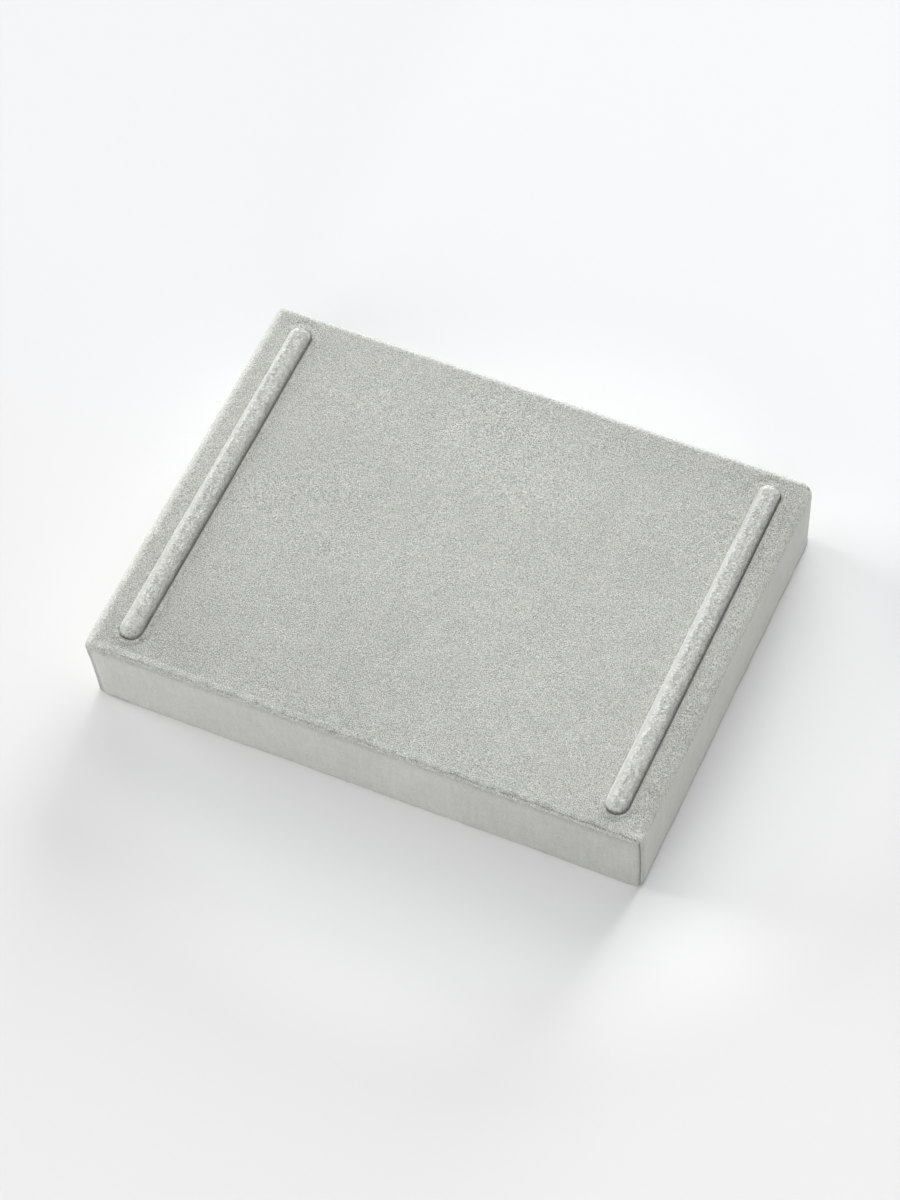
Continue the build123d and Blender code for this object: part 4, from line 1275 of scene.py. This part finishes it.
# ---------------------------------------------------------------- floor, light and camera
sc = bpy.context.scene
me = bpy.data.meshes.new("floor")
half = 3.0
me.from_pydata([(-half, -half, 0), (half, -half, 0), (half, half, 0), (-half, half, 0)], [], [(0, 1, 2, 3)])
floor = bpy.data.objects.new("floor", me)
sc.collection.objects.link(floor)
mat = bpy.data.materials.new("pale_floor")
nt, sh = nodes_of(mat)
where = nt.nodes.new("ShaderNodeTexCoord").outputs["Object"]
sep = nt.nodes.new("ShaderNodeSeparateXYZ")
nt.links.new(where, sep.inputs[0])
mr = nt.nodes.new("ShaderNodeMapRange")
mr.interpolation_type = "SMOOTHSTEP"
mr.inputs["From Min"].default_value, mr.inputs["From Max"].default_value = -0.06, 0.10
nt.links.new(sep.outputs["Y"], mr.inputs["Value"])
# painted light: a soft paler zone round the pad that lifts its cast shadow, except to the left of the pad
away = nt.nodes.new("ShaderNodeVectorMath")
away.operation = "DISTANCE"
away.inputs[1].default_value = (0.018, -0.014, 0.0)
nt.links.new(where, away.inputs[0])
zone = nt.nodes.new("ShaderNodeMapRange")
zone.interpolation_type = "SMOOTHSTEP"
zone.inputs["From Min"].default_value, zone.inputs["From Max"].default_value = 0.086, 0.126
zone.inputs["To Min"].default_value, zone.inputs["To Max"].default_value = 1.0, 0.0
nt.links.new(away.outputs["Value"], zone.inputs["Value"])
# painted light falloff: the floor darker towards the front and lighter towards the back
wide = mix_colour(nt, mr.outputs[0], (0.713, 0.706, 0.709, 1), (0.748, 0.756, 0.770, 1))
on_left = nt.nodes.new("ShaderNodeMapRange")
on_left.interpolation_type = "SMOOTHSTEP"
on_left.inputs["From Min"].default_value, on_left.inputs["From Max"].default_value = -0.098, -0.068
nt.links.new(sep.outputs["X"], on_left.inputs["Value"])
pale = mix_colour(nt, math_node(nt, "MULTIPLY", zone.outputs[0], on_left.outputs[0]), wide, (0.828, 0.830, 0.837, 1))
nt.links.new(mix_colour(nt, on_left.outputs[0], mix_colour(nt, mr.outputs[0], (0.713, 0.706, 0.709, 1), (0.726, 0.733, 0.747, 1)), pale), sh.inputs["Base Color"])
sh.inputs["Roughness"].default_value = 0.9
sh.inputs["Specular IOR Level"].default_value = 0.1
me.materials.append(mat)

world = bpy.data.worlds.new("studio")
sc.world = world
world.use_nodes = True
world.node_tree.nodes["Background"].inputs["Color"].default_value = (1.0, 1.0, 1.0, 1)
world.node_tree.nodes["Background"].inputs["Strength"].default_value = 0.138


def soft_light(name, azimuth, elevation, spread, strength):
    """A broad distant light; azimuth runs counterclockwise from +X, in degrees."""
    li = bpy.data.lights.new(name, "SUN")
    li.energy, li.angle = strength, math.radians(spread)
    a, e = math.radians(azimuth), math.radians(elevation)
    ob = bpy.data.objects.new(name, li)
    ob.rotation_mode = "QUATERNION"
    ob.rotation_quaternion = (-Vector((math.cos(e) * math.cos(a), math.cos(e) * math.sin(a), math.sin(e)))).to_track_quat("-Z", "Y")
    sc.collection.objects.link(ob)


soft_light("low_back", 90, 15, 30, 2.98)
soft_light("back", 95, 40, 40, 0.82)
soft_light("back_left", 125, 25, 30, 0.57)
soft_light("high_back_left", 140, 45, 40, 0.14)
soft_light("low_left", 180, 20, 30, 1.93)
soft_light("left", 175, 55, 50, 0.25)
soft_light("front_left", 225, 35, 60, 0.22)
soft_light("front", 275, 25, 60, 1.51)
soft_light("overhead", 90, 88, 90, 0.23)

# the photograph's camera, solved from the pad's edges
turn = np.array([2.4977743540545214, 0.5169444896188092, -0.19668308270995447])
shift = np.array([0.008033208020147802, 0.021530565385592584, 7.527753141237671])
angle = float(np.linalg.norm(turn))
kx, ky, kz = turn / angle
K = np.array([[0, -kz, ky], [kz, 0, -kx], [-ky, kx, 0]])
R = np.eye(3) + math.sin(angle) * K + (1 - math.cos(angle)) * K @ K
C = -R.T @ shift * 0.155
cam = bpy.data.cameras.new("camera")
cam.sensor_fit, cam.sensor_width = "AUTO", 36.0
cam.lens = math.exp(8.398170887444909) * 36.0 / 1200.0
cam.clip_start, cam.clip_end = 0.05, 50.0
camera = bpy.data.objects.new("camera", cam)
rot = Matrix(((R[0][0], -R[1][0], -R[2][0]), (R[0][1], -R[1][1], -R[2][1]), (R[0][2], -R[1][2], -R[2][2])))
camera.matrix_world = Matrix.Translation(Vector(C)) @ rot.to_4x4()
sc.collection.objects.link(camera)
sc.camera = camera
sc.view_settings.view_transform = "Standard"
